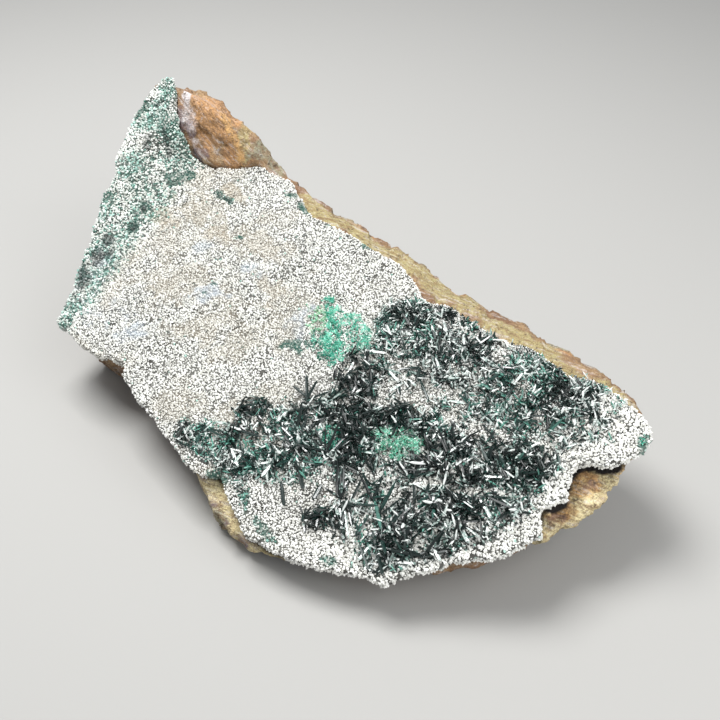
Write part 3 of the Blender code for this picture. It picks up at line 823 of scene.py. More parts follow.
@dataclass
class DruseCrust:
    """The crust: a thin sheet with a ragged rim, and the grains that cover it."""

    slab: Slab
    finish: Druse = field(default_factory=Druse)
    cells: tuple[int, int] = (230, 118)
    pitch: float = 0.52
    size: tuple[float, float] = (0.34, 0.8)
    pit: float = 0.9
    pit_level: float = -0.86
    ragged: float = 0.34
    ragged_grain: float = 2.4
    jitter: float = 0.38
    tumble: float = 0.35
    swells: Pairs = ((7.0, 0.30), (2.2, 0.14))
    coarse: float = 1.2
    thinned: float = 0.08
    splits: tuple[float, ...] = (-54.0, -18.0, 20.0)
    overgrown: tuple[Pairs, ...] = ()
    stains: dict[str, tuple[Blot, ...]] = field(default_factory=lambda: {
        "tan": blots((-54.4, 28.9, 4, 2.4, -20, 0.5), (-56.5, 44, 5, 2.2, -15, 0.5),
                     (-73, 30.5, 4, 4, 0, 0.5), (-65, 36, 7, 4, -10, 0.4),
                     (-32.2, 14.7, 5, 3, -20, 0.4), (-60, 8, 6, 3, 0, 0.35),
                     (-46, -4, 6, 3, -15, 0.3), (-40, 28, 9, 4, -20, 0.35)),
        "blue": blots((-64, -8, 6, 4, 10, 0.5), (-48.5, 9.5, 5, 2.4, 20, 0.55),
                      (-40.4, 19.4, 3, 2, 0, 0.45), (-84, 6, 4, 8, 0, 0.4),
                      (-20.2, 7.7, 3, 4, 0, 0.5), (-57, 24, 4, 1.6, 30, 0.35),
                      (-76, -4, 5, 4, 0, 0.35)),
        "teal": blots((-58.6, 41.6, 3.6, 1, -22), (-61.4, 43.2, 1.6, 0.8, -40),
                      (-39, 46.4, 1.6, 0.9), (-33.2, 42.5, 2.4, 0.8, -40), (-24.4, 38.6, 1, 0.6),
                      (-10.9, 34.5, 1.6, 0.7), (-80.3, 31.6, 1.3, 2.6, 10),
                      (-80, 24.5, 1.3, 2.2, -20), (-76.6, 44.1, 1.7, 3.8, 10),
                      (-73.3, 47.4, 1.6, 1), (-91.3, 59, 1.4, 3), (-90.2, 32.6, 1.4, 3.6, 0, 0.9),
                      (-83, 57, 2.6, 3, 0, 0.7), (-49.6, 9.1, 0.9, 0.5), (-48, 12.3, 0.8, 0.4),
                      (-48, 29.1, 0.9, 0.5), (-20.2, -0.4, 2.6, 0.8, 30),
                      (-17, -1.4, 1.8, 0.9, -20), (-14.4, 1.2, 1.4, 0.9), (71.6, -2.8, 1, 1.6),
                      (-36.4, -32.6, 1.4, 1.6), (-13, -44.2, 1, 3.4, 20, 0.8),
                      (-6, -49, 4, 1, -30, 0.7), (-23, -39.8, 4, 0.9, -8),
                      (10.6, -51.2, 3, 0.8, 0, 0.8)),
        "dark": blots((-86.6, 5, 1.3, 3.4, 16, 0.7), (-85.6, 11, 1.6, 3, -14, 0.7),
                      (-82.8, 14.2, 2, 1, 40, 0.7), (-85.2, 17.8, 1.6, 1.8, 0, 0.7),
                      (-80.6, 31, 0.7, 1.6, 10, 0.7), (-80, 24.5, 0.7, 1.2, -20, 0.7),
                      (-86, 50, 1, 2.4, 0, 0.6), (-81, 52, 0.8, 2.2, 20, 0.6),
                      (-86, 62, 1.6, 0.8, 30, 0.8), (-58.6, 41.5, 3, 0.7, -22, 0.6)),
    })

    def build(self) -> list[bpy.types.Object]:
        """Makes the sheet and the grains on it."""
        return [self.sheet(), *self.grains()]

    def swell(self, plan: Array) -> Array:
        """The low relief of the crust's face: noise of two sizes."""
        lattice = Lattice(31)
        return sum(depth * lattice.rough(in_plane(plan), size, 3) for size, depth in self.swells)

    def warp(self, plan: Array) -> Array:
        """The small sideways shift that makes the rim ragged."""
        return self.ragged * np.column_stack(
            [Lattice(seed).rough(in_plane(plan), self.ragged_grain, 3) for seed in (32, 33)])

    def masks(self, inner: Array) -> dict[str, Array]:
        """The stains' strength at each place, with a teal cast over the steep shoulder."""
        lattice = Lattice(34)
        made = {label: stained(inner, marks, lattice, 0.75, 3.0)
                for label, marks in self.stains.items()}
        past = capped(self.slab.past_fold(inner[:, 0], inner[:, 1]) / 5.0 + 0.3)
        cast = past * np.clip(0.52 + 0.5 * lattice.rough(inner, 5.0, 4), 0.15, 0.9)
        made["teal"] = np.maximum(made["teal"], cast)
        made["tan"] = np.maximum(made["tan"], np.clip(
            0.05 + 0.4 * lattice.rough(inner + 70.0, 9.0, 6), 0.0, 0.25)
            * (1.0 - past) * np.interp(inner[:, 0], (-25.0, -5.0), (1.0, 0.2)))
        made["blue"] *= capped(0.5 + 0.9 * lattice.rough(inner + 40.0, 2.0, 3))
        return made

    def cover(self, plan: Array) -> Array:
        """How far each place lies under the mats: 1 well inside them and 0 past their rims,
        with gaps where the crust shows through."""
        uneven = 1.2 * Lattice(36).rough(in_plane(plan), 3.0, 3)
        deep = [(from_edge(plan, ring) + uneven) / 1.5 for ring in self.overgrown]
        return capped(np.max(deep, axis=0, initial=0.0)) * growth(plan)

    def sheet(self) -> bpy.types.Object:
        """Makes the sheet: the outline's patch as a grid, once for the face and once for
        the underside, with a strip of faces between their rims."""
        across, deep = (n + 1 for n in self.cells)
        s, t = (g.ravel() for g in np.meshgrid(np.linspace(0, 1, across), np.linspace(0, 1, deep)))
        plan = self.slab.plan(s, t)
        plan = plan + self.warp(plan)
        top = self.slab.top(*plan.T)
        face = np.column_stack([plan, top + self.swell(plan) - 0.05])
        under = np.column_stack([plan, top - self.slab.thick])
        grid = np.arange(across * deep).reshape(deep, across)
        quads = np.stack([grid[:-1, :-1], grid[:-1, 1:], grid[1:, 1:], grid[1:, :-1]],
                         axis=-1).reshape(-1, 4)
        loop = np.concatenate([grid[0, :-1], grid[:-1, -1], grid[-1, :0:-1], grid[:0:-1, 0]])
        ahead = np.roll(loop, -1)
        shift = across * deep
        rim = np.stack([loop + shift, ahead + shift, ahead, loop], axis=-1)
        inner = np.concatenate([face, under])
        masks = self.masks(inner)
        # Painted shade: the ground is darkened under the needle mats.
        masks["dark"] = np.maximum(masks["dark"], 0.85 * self.cover(inner[:, :2]))
        return new_piece("druse_crust_sheet", self.slab.world(inner),
                         np.concatenate([quads, quads[:, ::-1] + shift, rim]),
                         self.finish.material("druse_ground", False), "druse",
                         ("druse_crust",), masks, smooth=True)

    def rows(self, rng: np.random.Generator) -> Array:
        """Places for the grains in rows along the slab: a loose triangular grid, with even
        steps along the surface, so that the grains keep their spacing on the steep part."""
        low, high = self.slab.ring().min(axis=0), self.slab.ring().max(axis=0)
        v = np.arange(low[1], high[1], self.pitch * math.sqrt(0.75))
        step = 0.2
        u_grid, v_grid = np.meshgrid(np.arange(low[0], high[0], step), v)
        climb = np.diff(self.slab.top(u_grid, v_grid), axis=1)
        run = np.concatenate([np.zeros((len(v), 1)), np.cumsum(np.hypot(climb, step), axis=1)],
                             axis=1)
        stride = run.max() + 10.0
        steps = np.arange(0.0, run.max(), self.pitch)
        row = np.arange(len(v))[:, None]
        wanted = steps[None] + 0.5 * self.pitch * (row % 2) + stride * row
        u = np.interp(wanted.ravel(), (run + stride * row).ravel(), u_grid.ravel())
        plan = np.column_stack([u, np.repeat(v, len(steps))])
        kept = (wanted - stride * row <= run.max(axis=1)[:, None]).ravel()
        plan = plan[kept]
        return plan + rng.uniform(-self.jitter, self.jitter, plan.shape) * self.pitch

    def grains(self) -> list[bpy.types.Object]:
        """Makes the grains: small double pyramids that lean a little out of the surface,
        bigger and sparser on the shoulder, also down the rim's edge."""
        rng = np.random.default_rng(41)
        plan = self.rows(rng)
        plan = plan[inside(plan - self.warp(plan), self.slab.ring())]
        coarse = self.slab.past_fold(*plan.T) > rng.uniform(-3.0, 3.0, len(plan))
        kept = ~coarse | (rng.random(len(plan)) > self.thinned)
        kept &= Lattice(35).rough(in_plane(plan), self.pit, 2) > self.pit_level
        plan, coarse = plan[kept], coarse[kept]
        out = self.lean(plan)
        foot = np.column_stack([plan, self.slab.top(*plan.T) + self.swell(plan)])
        edge, edge_out = self.edge(rng)
        foot, out = np.concatenate([foot, edge]), np.concatenate([out, edge_out])
        coarse = np.concatenate([coarse, np.zeros(len(edge), bool)])
        count = len(foot)
        grow = np.where(coarse, self.coarse, 1.0) * np.interp(foot[:, 0] - foot[:, 1],
                                                              (40.0, 62.0), (1.0, 1.22))
        width = rng.uniform(*self.size, count) * grow
        tilt = unit(out + self.tumble * rng.normal(0.0, 1.0, (count, 3)))
        masks = self.masks(foot)
        layers = {"shade": rng.random(count) ** 0.7, **masks}
        layers = {k: capped(a * rng.uniform(0.75, 1.25, count)) for k, a in layers.items()}
        lone = rng.random(count)
        layers["dark"] = np.where(lone > np.where(coarse, 0.95, 0.986), 0.8, layers["dark"])
        spots = stained(foot, self.stains["teal"], Lattice(34), 0.75, 3.0)
        layers["shade"] *= 1.0 - 0.65 * spots
        layers["teal"] = np.where(lone < 0.006 + np.maximum(0.72 * masks["teal"] ** 1.5,
                                                            0.75 * spots),
                                  rng.uniform(0.6, 1.0, count), 0.35 * masks["teal"])
        cover, lone = self.cover(foot[:, :2]), rng.random(count)
        # Painted shade: up to half the grains under the needle mats are made dark.
        layers["dark"] = np.where(lone < 0.5 * cover, rng.uniform(0.7, 1.0, count), layers["dark"])
        layers["teal"] = np.where(np.abs(lone - 0.6) < 0.1 * cover, 0.8, layers["teal"])
        world = self.slab.world(foot)
        axis = self.slab.turned(tilt)
        fields = dict(length=width * rng.uniform(0.55, 1.0, count), width=width,
                      flat=rng.uniform(0.7, 1.0, count), spin=rng.uniform(0, 6.28, count))
        finish = self.finish.material("druse_crystal", True)
        bounds = (-np.inf, *self.splits, np.inf)
        made = []
        for k, (low, high) in enumerate(zip(bounds[:-1], bounds[1:])):
            mine = (foot[:, 0] >= low) & (foot[:, 0] < high)
            batch = Crystals(foot=world[mine], axis=axis[mine], stations=((0.35, 1.0),),
                             sides=5, uneven=0.28, seed=42 + k, sunk=0.5,
                             **{name: a[mine] for name, a in fields.items()})
            made.append(new_piece(
                f"druse_grains_{k + 1}", *batch.mesh(), finish, "druse", (),
                {name: batch.spread(a[mine]) for name, a in layers.items()}))
        return made

    def lean(self, plan: Array) -> Array:
        """The crust's outward normal at each place, from differences of its height."""
        step = 0.25
        falls = [self.slab.top(*(plan - way).T) - self.slab.top(*(plan + way).T)
                 for way in ((step, 0.0), (0.0, step))]
        return unit(np.column_stack([*falls, np.full(len(plan), 2.0 * step)]))

    def edge(self, rng: np.random.Generator) -> tuple[Array, Array]:
        """Places and outward ways for the grains down the rim's edge."""
        ring = self.slab.ring()
        closed = np.vstack([ring, ring[:1]])
        steps = np.hypot(*np.diff(closed, axis=0).T)
        count = int(steps.sum() * self.slab.thick / self.pitch ** 2)
        share = np.sort(rng.random(count)) * steps.sum()
        reach = np.concatenate([[0.0], np.cumsum(steps)])
        plan = np.column_stack([np.interp(share, reach, closed[:, k]) for k in (0, 1)])
        way = unit(np.diff(closed, axis=0))[np.clip(np.searchsorted(reach, share) - 1, 0,
                                                    len(steps) - 1)]
        outward = np.column_stack([way[:, 1], -way[:, 0]])
        drop = rng.uniform(0.05, 0.95, count)
        plan = plan + self.warp(plan) - 0.05 * outward
        foot = np.column_stack([plan, self.slab.top(*plan.T) - drop * self.slab.thick])
        return foot, np.column_stack([outward, 0.4 - 0.5 * drop])


# The dark needles


class Habit(Enum):
    """The forms that the dark crystals take: length, width, thickness as a share of the
    width, and the least and the greatest lean out of the crust, in degrees."""

    STUBBLE = ((0.7, 1.5), (0.42, 0.78), (0.5, 0.9), (10.0, 70.0))
    FINE = ((1.2, 3.0), (0.34, 0.66), (0.45, 0.9), (5.0, 60.0))
    BLADE = ((2.6, 5.4), (0.5, 1.0), (0.3, 0.7), (3.0, 50.0))
    LONG = ((5.5, 9.0), (0.6, 1.1), (0.3, 0.6), (2.0, 32.0))
    MOSS = ((0.45, 1.0), (0.26, 0.44), (0.5, 0.9), (15.0, 80.0))


@dataclass(frozen=True)
class NeedleCrystal:
    """Dark glassy needles: nearly black with a green body colour that shows as teal on some, and
    darker on those set low in a mat as painted shade, among white and grey ones with a frosted
    skin."""

    black: str = "#0d1614"
    green: str = "#24463f"
    teal: str = "#6aa897"
    grey: str = "#8fa69e"
    white: str = "#f3f7f3"
    roughness: float = 0.2
    ior: float = 1.75
    grain: float = 0.6

    def material(self) -> bpy.types.Material:
        """Makes the material from each crystal's own tone and frost."""
        paint = Paint("black_green_needle", self.roughness, self.ior, ("tone", "frost"),
                      ((self.grain, 2.0),))
        tone, frost, grain = *paint.mask.values(), *paint.noise
        base = paint.lay(self.black, self.green, tone, 0.0, 0.5)
        base = paint.lay(base, self.teal, tone, 0.5, 1.0)
        base = paint.lay(base, self.black, grain, 0.45, 0.7, 0.0, 0.35)
        wear = add_node(paint.tree, "ShaderNodeMapRange",
                        {0: grain, 1: 0.35, 2: 0.65, 3: 0.1, 4: -0.35}).outputs[0]
        worn = paint.weigh(0.0, (frost, 1.0), (wear, 1.0))
        pale = paint.lay(self.grey, self.white, worn, 0.35, 0.75)
        return paint.done(paint.lay(base, pale, worn, 0.1, 0.4))


TUFT_HOLLOWS = (
    ((9.8, -18.3), (13.4, -15.4), (18.9, -15.0), (23.6, -16.8), (24.2, -20.9), (19.3, -24.2),
     (13.0, -23.2)),
    ((-1.5, -20.4), (2.3, -18.4), (5.6, -23.2), (2.4, -26.3), (-0.6, -24.4)),
)


@dataclass(frozen=True)
class Bed:
    """A stretch of ground that crystals grow from: its outline, how many of each habit
    stand on a square mm, how light their green is, and what share of them is frosted."""

    ring: Pairs
    crowd: tuple[float, ...] = ()
    tone: float = 0.25
    frost: float = 0.3
    ragged: float = 1.5
    patchy: float = 0.9

    def area(self) -> float:
        """The outline's area in square mm, by the shoelace rule."""
        u, v = np.array(self.ring).T
        return 0.5 * abs(float(np.dot(u, np.roll(v, -1)) - np.dot(v, np.roll(u, -1))))

    def feet(self, count: int, rng: np.random.Generator, lattice: Lattice,
             crust: Array, hollows: tuple[Pairs, ...] = ()) -> Array:
        """Draws places inside the outline, whose rim is made uneven, in loose clumps.

        Args:
            count: How many places.
            rng: Where the random numbers come from.
            lattice: The noise of the rim and of the clumps.
            crust: The crust's outline, past which nothing grows.
            hollows: Outlines that are left free.

        Returns:
            Places in the slab frame, one row each.
        """
        ring = np.array(self.ring)
        low, high = ring.min(axis=0) - self.ragged, ring.max(axis=0) + self.ragged
        found = np.empty((0, 2))
        while len(found) < count:
            plan = rng.uniform(low, high, (4 * count + 20, 2))
            shift = np.column_stack([lattice.rough(in_plane(plan) + far, 4.0, 3)
                                     for far in (0.0, 50.0)])
            kept = inside(plan + self.ragged * shift, ring) & inside(plan, crust)
            kept &= rng.random(len(plan)) < 1.0 - self.patchy * (1.0 - growth(plan))
            for hollow in hollows:
                kept &= ~inside(plan + 0.6 * shift, hollow)
            found = np.concatenate([found, plan[kept]])
        return found[:count]


@dataclass(frozen=True)
class Sprig:
    """One big crystal, listed one by one: where its foot and its tip lie in the slab frame, how
    wide it is, how far its tip rises, its tone and its frost."""

    u: float
    v: float
    tip_u: float
    tip_v: float
    width: float
    rise: float
    tone: float = 0.1
    frost: float = 0.0


@dataclass
class CrystalMat:
    """One mat of needles: stubble that covers the ground, and sprays of longer crystals
    that spring from shared feet and lean every way."""

    name: str
    slab: Slab
    seed: int
    replaced: tuple[str, ...]
    beds: tuple[Bed, ...]
    sprigs: tuple[tuple[float, ...], ...] = ()
    spray: int = 4
    scatter: float = 0.45
    fan: float = 0.9
    stray: float = 0.4
    cut_short: float = 0.6
    lift: float = 0.9

    def build(self, material: bpy.types.Material) -> bpy.types.Object:
        """Makes the mat as one piece.

        Args:
            material: What the needles are made of.

        Returns:
            The piece that stands for the mat's solids.
        """
        rng = np.random.default_rng(self.seed)
        lattice = Lattice(self.seed)
        batches = [self.batch(bed, habit, int(crowd * bed.area()), rng, lattice)
                   for bed in self.beds for habit, crowd in zip(Habit, bed.crowd) if crowd]
        if self.sprigs:
            batches.append(self.by_hand())
        parts, start = [], 0
        for crystals, tone, frost in batches:
            points, triangles = crystals.mesh()
            parts.append((points, triangles + start, crystals.spread(tone),
                          crystals.spread(frost)))
            start += len(points)
        verts, faces, tone, frost = (np.concatenate(part) for part in zip(*parts))
        return new_piece(self.name, verts, faces, material, "dark_crystal", self.replaced,
                         {"tone": tone, "frost": frost})

    def batch(self, bed: Bed, habit: Habit, count: int, rng: np.random.Generator,
              lattice: Lattice) -> tuple[Crystals, Array, Array]:
        """Works out the crystals of one habit on one bed.

        Args:
            bed: Where they grow.
            habit: Their form.
            count: How many there are.
            rng: Where the random numbers come from.
            lattice: The noise of the bed.

        Returns:
            The crystals, each one's tone, and each one's frost.
        """
        lengths, widths, flats, leans = habit.value
        group = 1 if habit in (Habit.MOSS, Habit.STUBBLE) else self.spray
        centres = bed.feet(count // group + 1, rng, lattice, self.slab.ring(), TUFT_HOLLOWS)
        plan = np.repeat(centres, group, axis=0)[:count]
        plan = plan + rng.normal(0.0, self.scatter, plan.shape) * (group > 1)
        length = rng.uniform(*lengths, count)
        lean = np.radians(rng.uniform(*leans, count))
        heading = np.repeat(rng.uniform(0.0, 2.0 * math.pi, len(centres)), group)[:count]
        heading = heading + rng.normal(0.0, self.fan, count)
        lone = rng.random(count) < self.stray
        heading = np.where(lone, rng.uniform(0.0, 2.0 * math.pi, count), heading)
        way = np.column_stack([np.cos(heading), np.sin(heading)])
        reach = (length * np.cos(lean))[:, None]
        fits = inside(plan + way * reach, bed.ring)
        back = inside(plan - way * reach, bed.ring) & ~fits
        way = np.where(back[:, None], -way, way)
        length = np.where(fits | back, length, self.cut_short * length)
        axis = np.column_stack([way * np.cos(lean)[:, None], np.sin(lean)])
        high = rng.random(count)
        foot = np.column_stack([plan, self.slab.top(*plan.T) - 0.1 + self.lift * high])
        small = habit in (Habit.MOSS, Habit.STUBBLE, Habit.FINE)
        # Needles set lower in the mat get a darker green and are less often frosted: painted shade
        # for the mat's depth. The noise gives real patches of lighter and darker green.
        patch_and_depth_shade = np.clip(0.5 + 0.7 * lattice.rough(foot, 5.0, 3), 0.1, 1.3) * (0.3 + 1.2 * high)
        tone = capped(rng.gamma(1.5, (1.15 if small else 0.42) * bed.tone, count) * patch_and_depth_shade)
        share = (bed.frost * (1.0 if small else 0.12 if habit is Habit.LONG else 0.45)
                 * (0.2 + 1.6 * high)
                 * np.clip(1.0 + 1.5 * lattice.rough(foot + 30.0, 2.4, 2), 0.1, 2.5))
        frost = (rng.random(count) < share) * rng.uniform(0.3, 1.1, count)
        stations = {Habit.MOSS: ((0.4, 1.0),), Habit.STUBBLE: ((0.3, 1.0),),
                    Habit.FINE: ((0.05, 0.7), (0.62, 1.0))}.get(
            habit, ((0.03, 0.6), (0.3, 1.0), (0.8, 0.8)))
        crystals = Crystals(
            foot=self.slab.world(foot), axis=self.slab.turned(axis), length=length,
            width=rng.uniform(*widths, count), flat=rng.uniform(*flats, count),
            spin=rng.uniform(0.0, math.pi, count), stations=stations,
            sides=4 if small else 5, uneven=0.12, seed=self.seed + 7, sunk=0.06)
        return crystals, tone, frost

    def by_hand(self) -> tuple[Crystals, Array, Array]:
        """Works out the crystals that are set one by one."""
        rows = np.array([astuple(Sprig(*row)) for row in self.sprigs])
        plan, tips, (width, rise, tone, frost) = rows[:, :2], rows[:, 2:4], rows[:, 4:].T
        foot = np.column_stack([plan, self.slab.top(*plan.T) + 0.8])
        tip = np.column_stack([tips, self.slab.top(*tips.T) + 0.8 + rise])
        crystals = Crystals(
            foot=self.slab.world(foot), axis=self.slab.turned(unit(tip - foot)),
            length=np.linalg.norm(tip - foot, axis=1), width=width,
            flat=np.full(len(rows), 0.45), spin=np.linspace(0.2, 2.9, len(rows)),
            stations=((0.02, 0.75), (0.3, 1.0), (0.9, 0.9)), sides=6, uneven=0.05,
            seed=self.seed + 8, sunk=0.03)
        return crystals, tone, frost


# The bright tufts


@dataclass(frozen=True)
class EmeraldCrystal:
    """Bright green crystals, each too small to see alone: emerald where they are thick,
    mint where they are thin, white at some tips, with a yellow-green fringe."""

    deep: str = "#1d6f5a"
    emerald: str = "#3aa68c"
    mint: str = "#86dcc3"
    yellow: str = "#a9cf9a"
    white: str = "#edf5ee"
    roughness: float = 0.35
    grain: float = 0.9

    def material(self) -> bpy.types.Material:
        """Makes the material from each crystal's own tone."""
        paint = Paint("emerald_needle", self.roughness, 1.7, ("tone", "warm", "pale"),
                      ((self.grain, 3.0),))
        tone, warm, pale, grain = *paint.mask.values(), *paint.noise
        base = self.deep
        for tint, driver, *span in (
                (self.emerald, tone, 0.0, 0.5), (self.mint, tone, 0.5, 1.0),
                (self.deep, grain, 0.5, 0.75, 0.0, 0.4), (self.yellow, warm),
                (self.white, pale)):
            base = paint.lay(base, tint, driver, *span)
        return paint.done(base)


@dataclass(frozen=True)
class Lobe:
    """One part of a tuft: its outline, how many sprays stand on a square mm, how high the
    sprays are heaped, how light its green is, and what share of it is white."""

    ring: Pairs
    crowd: float
    heap: float
    tone: float
    pale: float
    warm: float = 0.0


@dataclass
class GreenTufts:
    """The two bright tufts: sprays of tiny crystals, heaped highest in the middle."""

    slab: Slab
    lobes: tuple[Lobe, ...] = (
        Lobe(((-17.1, 15.9), (-13.8, 17), (-10.9, 12), (-7, 6.2), (-3.9, -1.7), (-6.2, -4.2),
              (-10.2, 0.3), (-13.2, 7.3)), 2, 1.1, 0.72, 0.14),
        Lobe(((-10.5, 12.5), (-4, 12.8), (1.4, 6.4), (0.6, 2.4), (-3.5, -0.4),
              (-6.6, 5)), 1.35, 0.9, 0.55, 0.4),
        Lobe(((-15.8, 5.5), (-11.5, 4.9), (-7.4, -1), (-9.6, -2.4),
              (-13, -1.2)), 1.3, 0.7, 0.15, 0.3),
        Lobe(((-19.6, 12.6), (-16.2, 13.9), (-12.1, 6.3), (-16.4, 4.6)), 1, 0.5, 0.6, 0.35, 0.75),
        Lobe(TUFT_HOLLOWS[0], 2, 1.9, 0.6, 0.36, 0.2),
        Lobe(TUFT_HOLLOWS[1], 2.4, 2.4, 0.5, 0.2),
        Lobe(((41.2, 13.4), (43, 13.2), (43.4, 11.6), (41.4, 11.6)), 2, 1, 0.4, 0.1),
        Lobe(((50.6, 0.4), (51.8, 0.4), (51.8, -1), (50.6, -1)), 2, 1.6, 0.9, 0),
        Lobe(((41.2, -16.2), (42.6, -16.4), (42.4, -17.8), (41.2, -17.6)), 2, 2, 0.5, 0),
        Lobe(((71, -1.9), (71.8, -1.7), (71.7, -3), (71, -3.2)), 2.4, 0.4, 0.45, 0.1),
    )
    spray: int = 10
    length: tuple[float, float] = (0.45, 1.15)
    width: tuple[float, float] = (0.22, 0.45)
    finish: EmeraldCrystal = field(default_factory=EmeraldCrystal)

    def build(self) -> bpy.types.Object:
        """Makes both tufts as one piece."""
        rng = np.random.default_rng(71)
        lattice = Lattice(74)
        rows = []
        for lobe in self.lobes:
            bed = Bed(lobe.ring, ragged=1.0, patchy=0.45)
            plan = bed.feet(int(lobe.crowd * bed.area()), rng, lattice, self.slab.ring())
            depth = capped(from_edge(plan, lobe.ring) / 2.5)
            rise = lobe.heap * depth * rng.uniform(0.3, 1.0, len(plan))
            rows.append(np.column_stack([plan, rise, np.tile(
                (lobe.tone, lobe.pale, lobe.warm), (len(plan), 1))]))
        u, v, rise, tone, pale, warm = np.repeat(np.concatenate(rows), self.spray, axis=0).T
        count = len(u)
        plan = np.column_stack([u, v]) + rng.normal(0.0, 0.18, (count, 2))
        foot = np.column_stack([plan, self.slab.top(*plan.T) + rise])
        axis = unit(rng.normal(0.0, 1.0, (count, 3)) + [0.0, 0.0, 0.9])
        axis[:, 2] = np.abs(axis[:, 2])
        crystals = Crystals(
            foot=self.slab.world(foot), axis=self.slab.turned(axis),
            length=rng.uniform(*self.length, count), width=rng.uniform(*self.width, count),
            flat=rng.uniform(0.5, 1.0, count), spin=rng.uniform(0.0, math.pi, count),
            stations=((0.45, 1.0),), sides=4, uneven=0.15, seed=72, sunk=0.2)
        tone = capped(tone + 0.6 * lattice.rough(foot, 2.4, 3) + rng.normal(0.0, 0.2, count))
        pale = (rng.random(count) < pale) * rng.uniform(0.6, 1.0, count)
        warm = warm * rng.uniform(0.2, 1.0, count)
        layers = {"tone": tone, "pale": pale, "warm": warm}
        return new_piece("green_tuft_crystals", *crystals.mesh(), self.finish.material(),
                         "green_crystal", ("green_tuft_upper", "green_tuft_lower"),
                         {label: crystals.spread(a) for label, a in layers.items()})


# The room


@dataclass(frozen=True)
class Studio:
    """A pale floor, soft lights and the camera that sees the specimen as photographed."""

    target: tuple[float, float, float] = (8.3, -21.7, 29.0)
    distance: float = 250.0
    elevation: float = 41.0
    lens: float = 49.45
    sensor: float = 36.0
    floor_half: float = 3000.0
    floor: str = "#a6a5a2"
    sky: str = "#e9edf2"
    sky_strength: float = 0.4

    def build(self) -> None:
        """Makes the floor, the lights and the camera."""
        self.make_floor()
        self.make_camera()
        self.light("key", (-150.0, 110.0, 470.0), (280.0, 220.0), 3.7)
        self.light("fill", (260.0, -240.0, 260.0), (420.0, 420.0), 1.5)
        world = bpy.data.worlds.new("pale_room")
        world.use_nodes = True
        back = world.node_tree.nodes["Background"]
        back.inputs["Color"].default_value = colour(self.sky)
        back.inputs["Strength"].default_value = self.sky_strength
        bpy.context.scene.world = world
        bpy.context.scene.view_settings.view_transform = "Standard"

    def make_floor(self) -> None:
        """Makes a plain matt floor under the specimen."""
        half = self.floor_half * MM
        mesh = bpy.data.meshes.new("floor")
        mesh.from_pydata([(-half, -half, 0.0), (half, -half, 0.0), (half, half, 0.0),
                          (-half, half, 0.0)], [], [(0, 1, 2, 3)])
        paint = Paint("pale_floor", 0.9)
        paint.shader.inputs["Base Color"].default_value = colour(self.floor)
        mesh.materials.append(paint.material)
        new_object("floor", mesh)

    def make_camera(self) -> None:
        """Makes the camera at the photograph's distance, height and lens."""
        data = bpy.data.cameras.new("camera")
        data.lens, data.sensor_width = self.lens, self.sensor
        data.clip_start = 10.0 * MM
        lift = math.radians(self.elevation)
        away = Vector((0.0, -math.cos(lift), math.sin(lift))) * self.distance
        camera = new_object("camera", data)
        camera.location = (Vector(self.target) + away) * MM
        camera.rotation_euler = (-away).to_track_quat("-Z", "Y").to_euler()
        bpy.context.scene.camera = camera

    def light(self, name: str, place: tuple[float, float, float],
              size: tuple[float, float], power: float) -> None:
        """Adds a soft rectangular light that points at the specimen.

        Args:
            name: The light's name.
            place: Where it hangs, in mm.
            size: Its sides, in mm.
            power: Its power, in watts.
        """
        data = bpy.data.lights.new(name, "AREA")
        data.shape = "RECTANGLE"
        data.size, data.size_y = size[0] * MM, size[1] * MM
        data.energy = power
        lamp = new_object(name, data)
        lamp.location = Vector(place) * MM
        way = Vector(self.target) - Vector(place)
        lamp.rotation_euler = way.to_track_quat("-Z", "Y").to_euler()


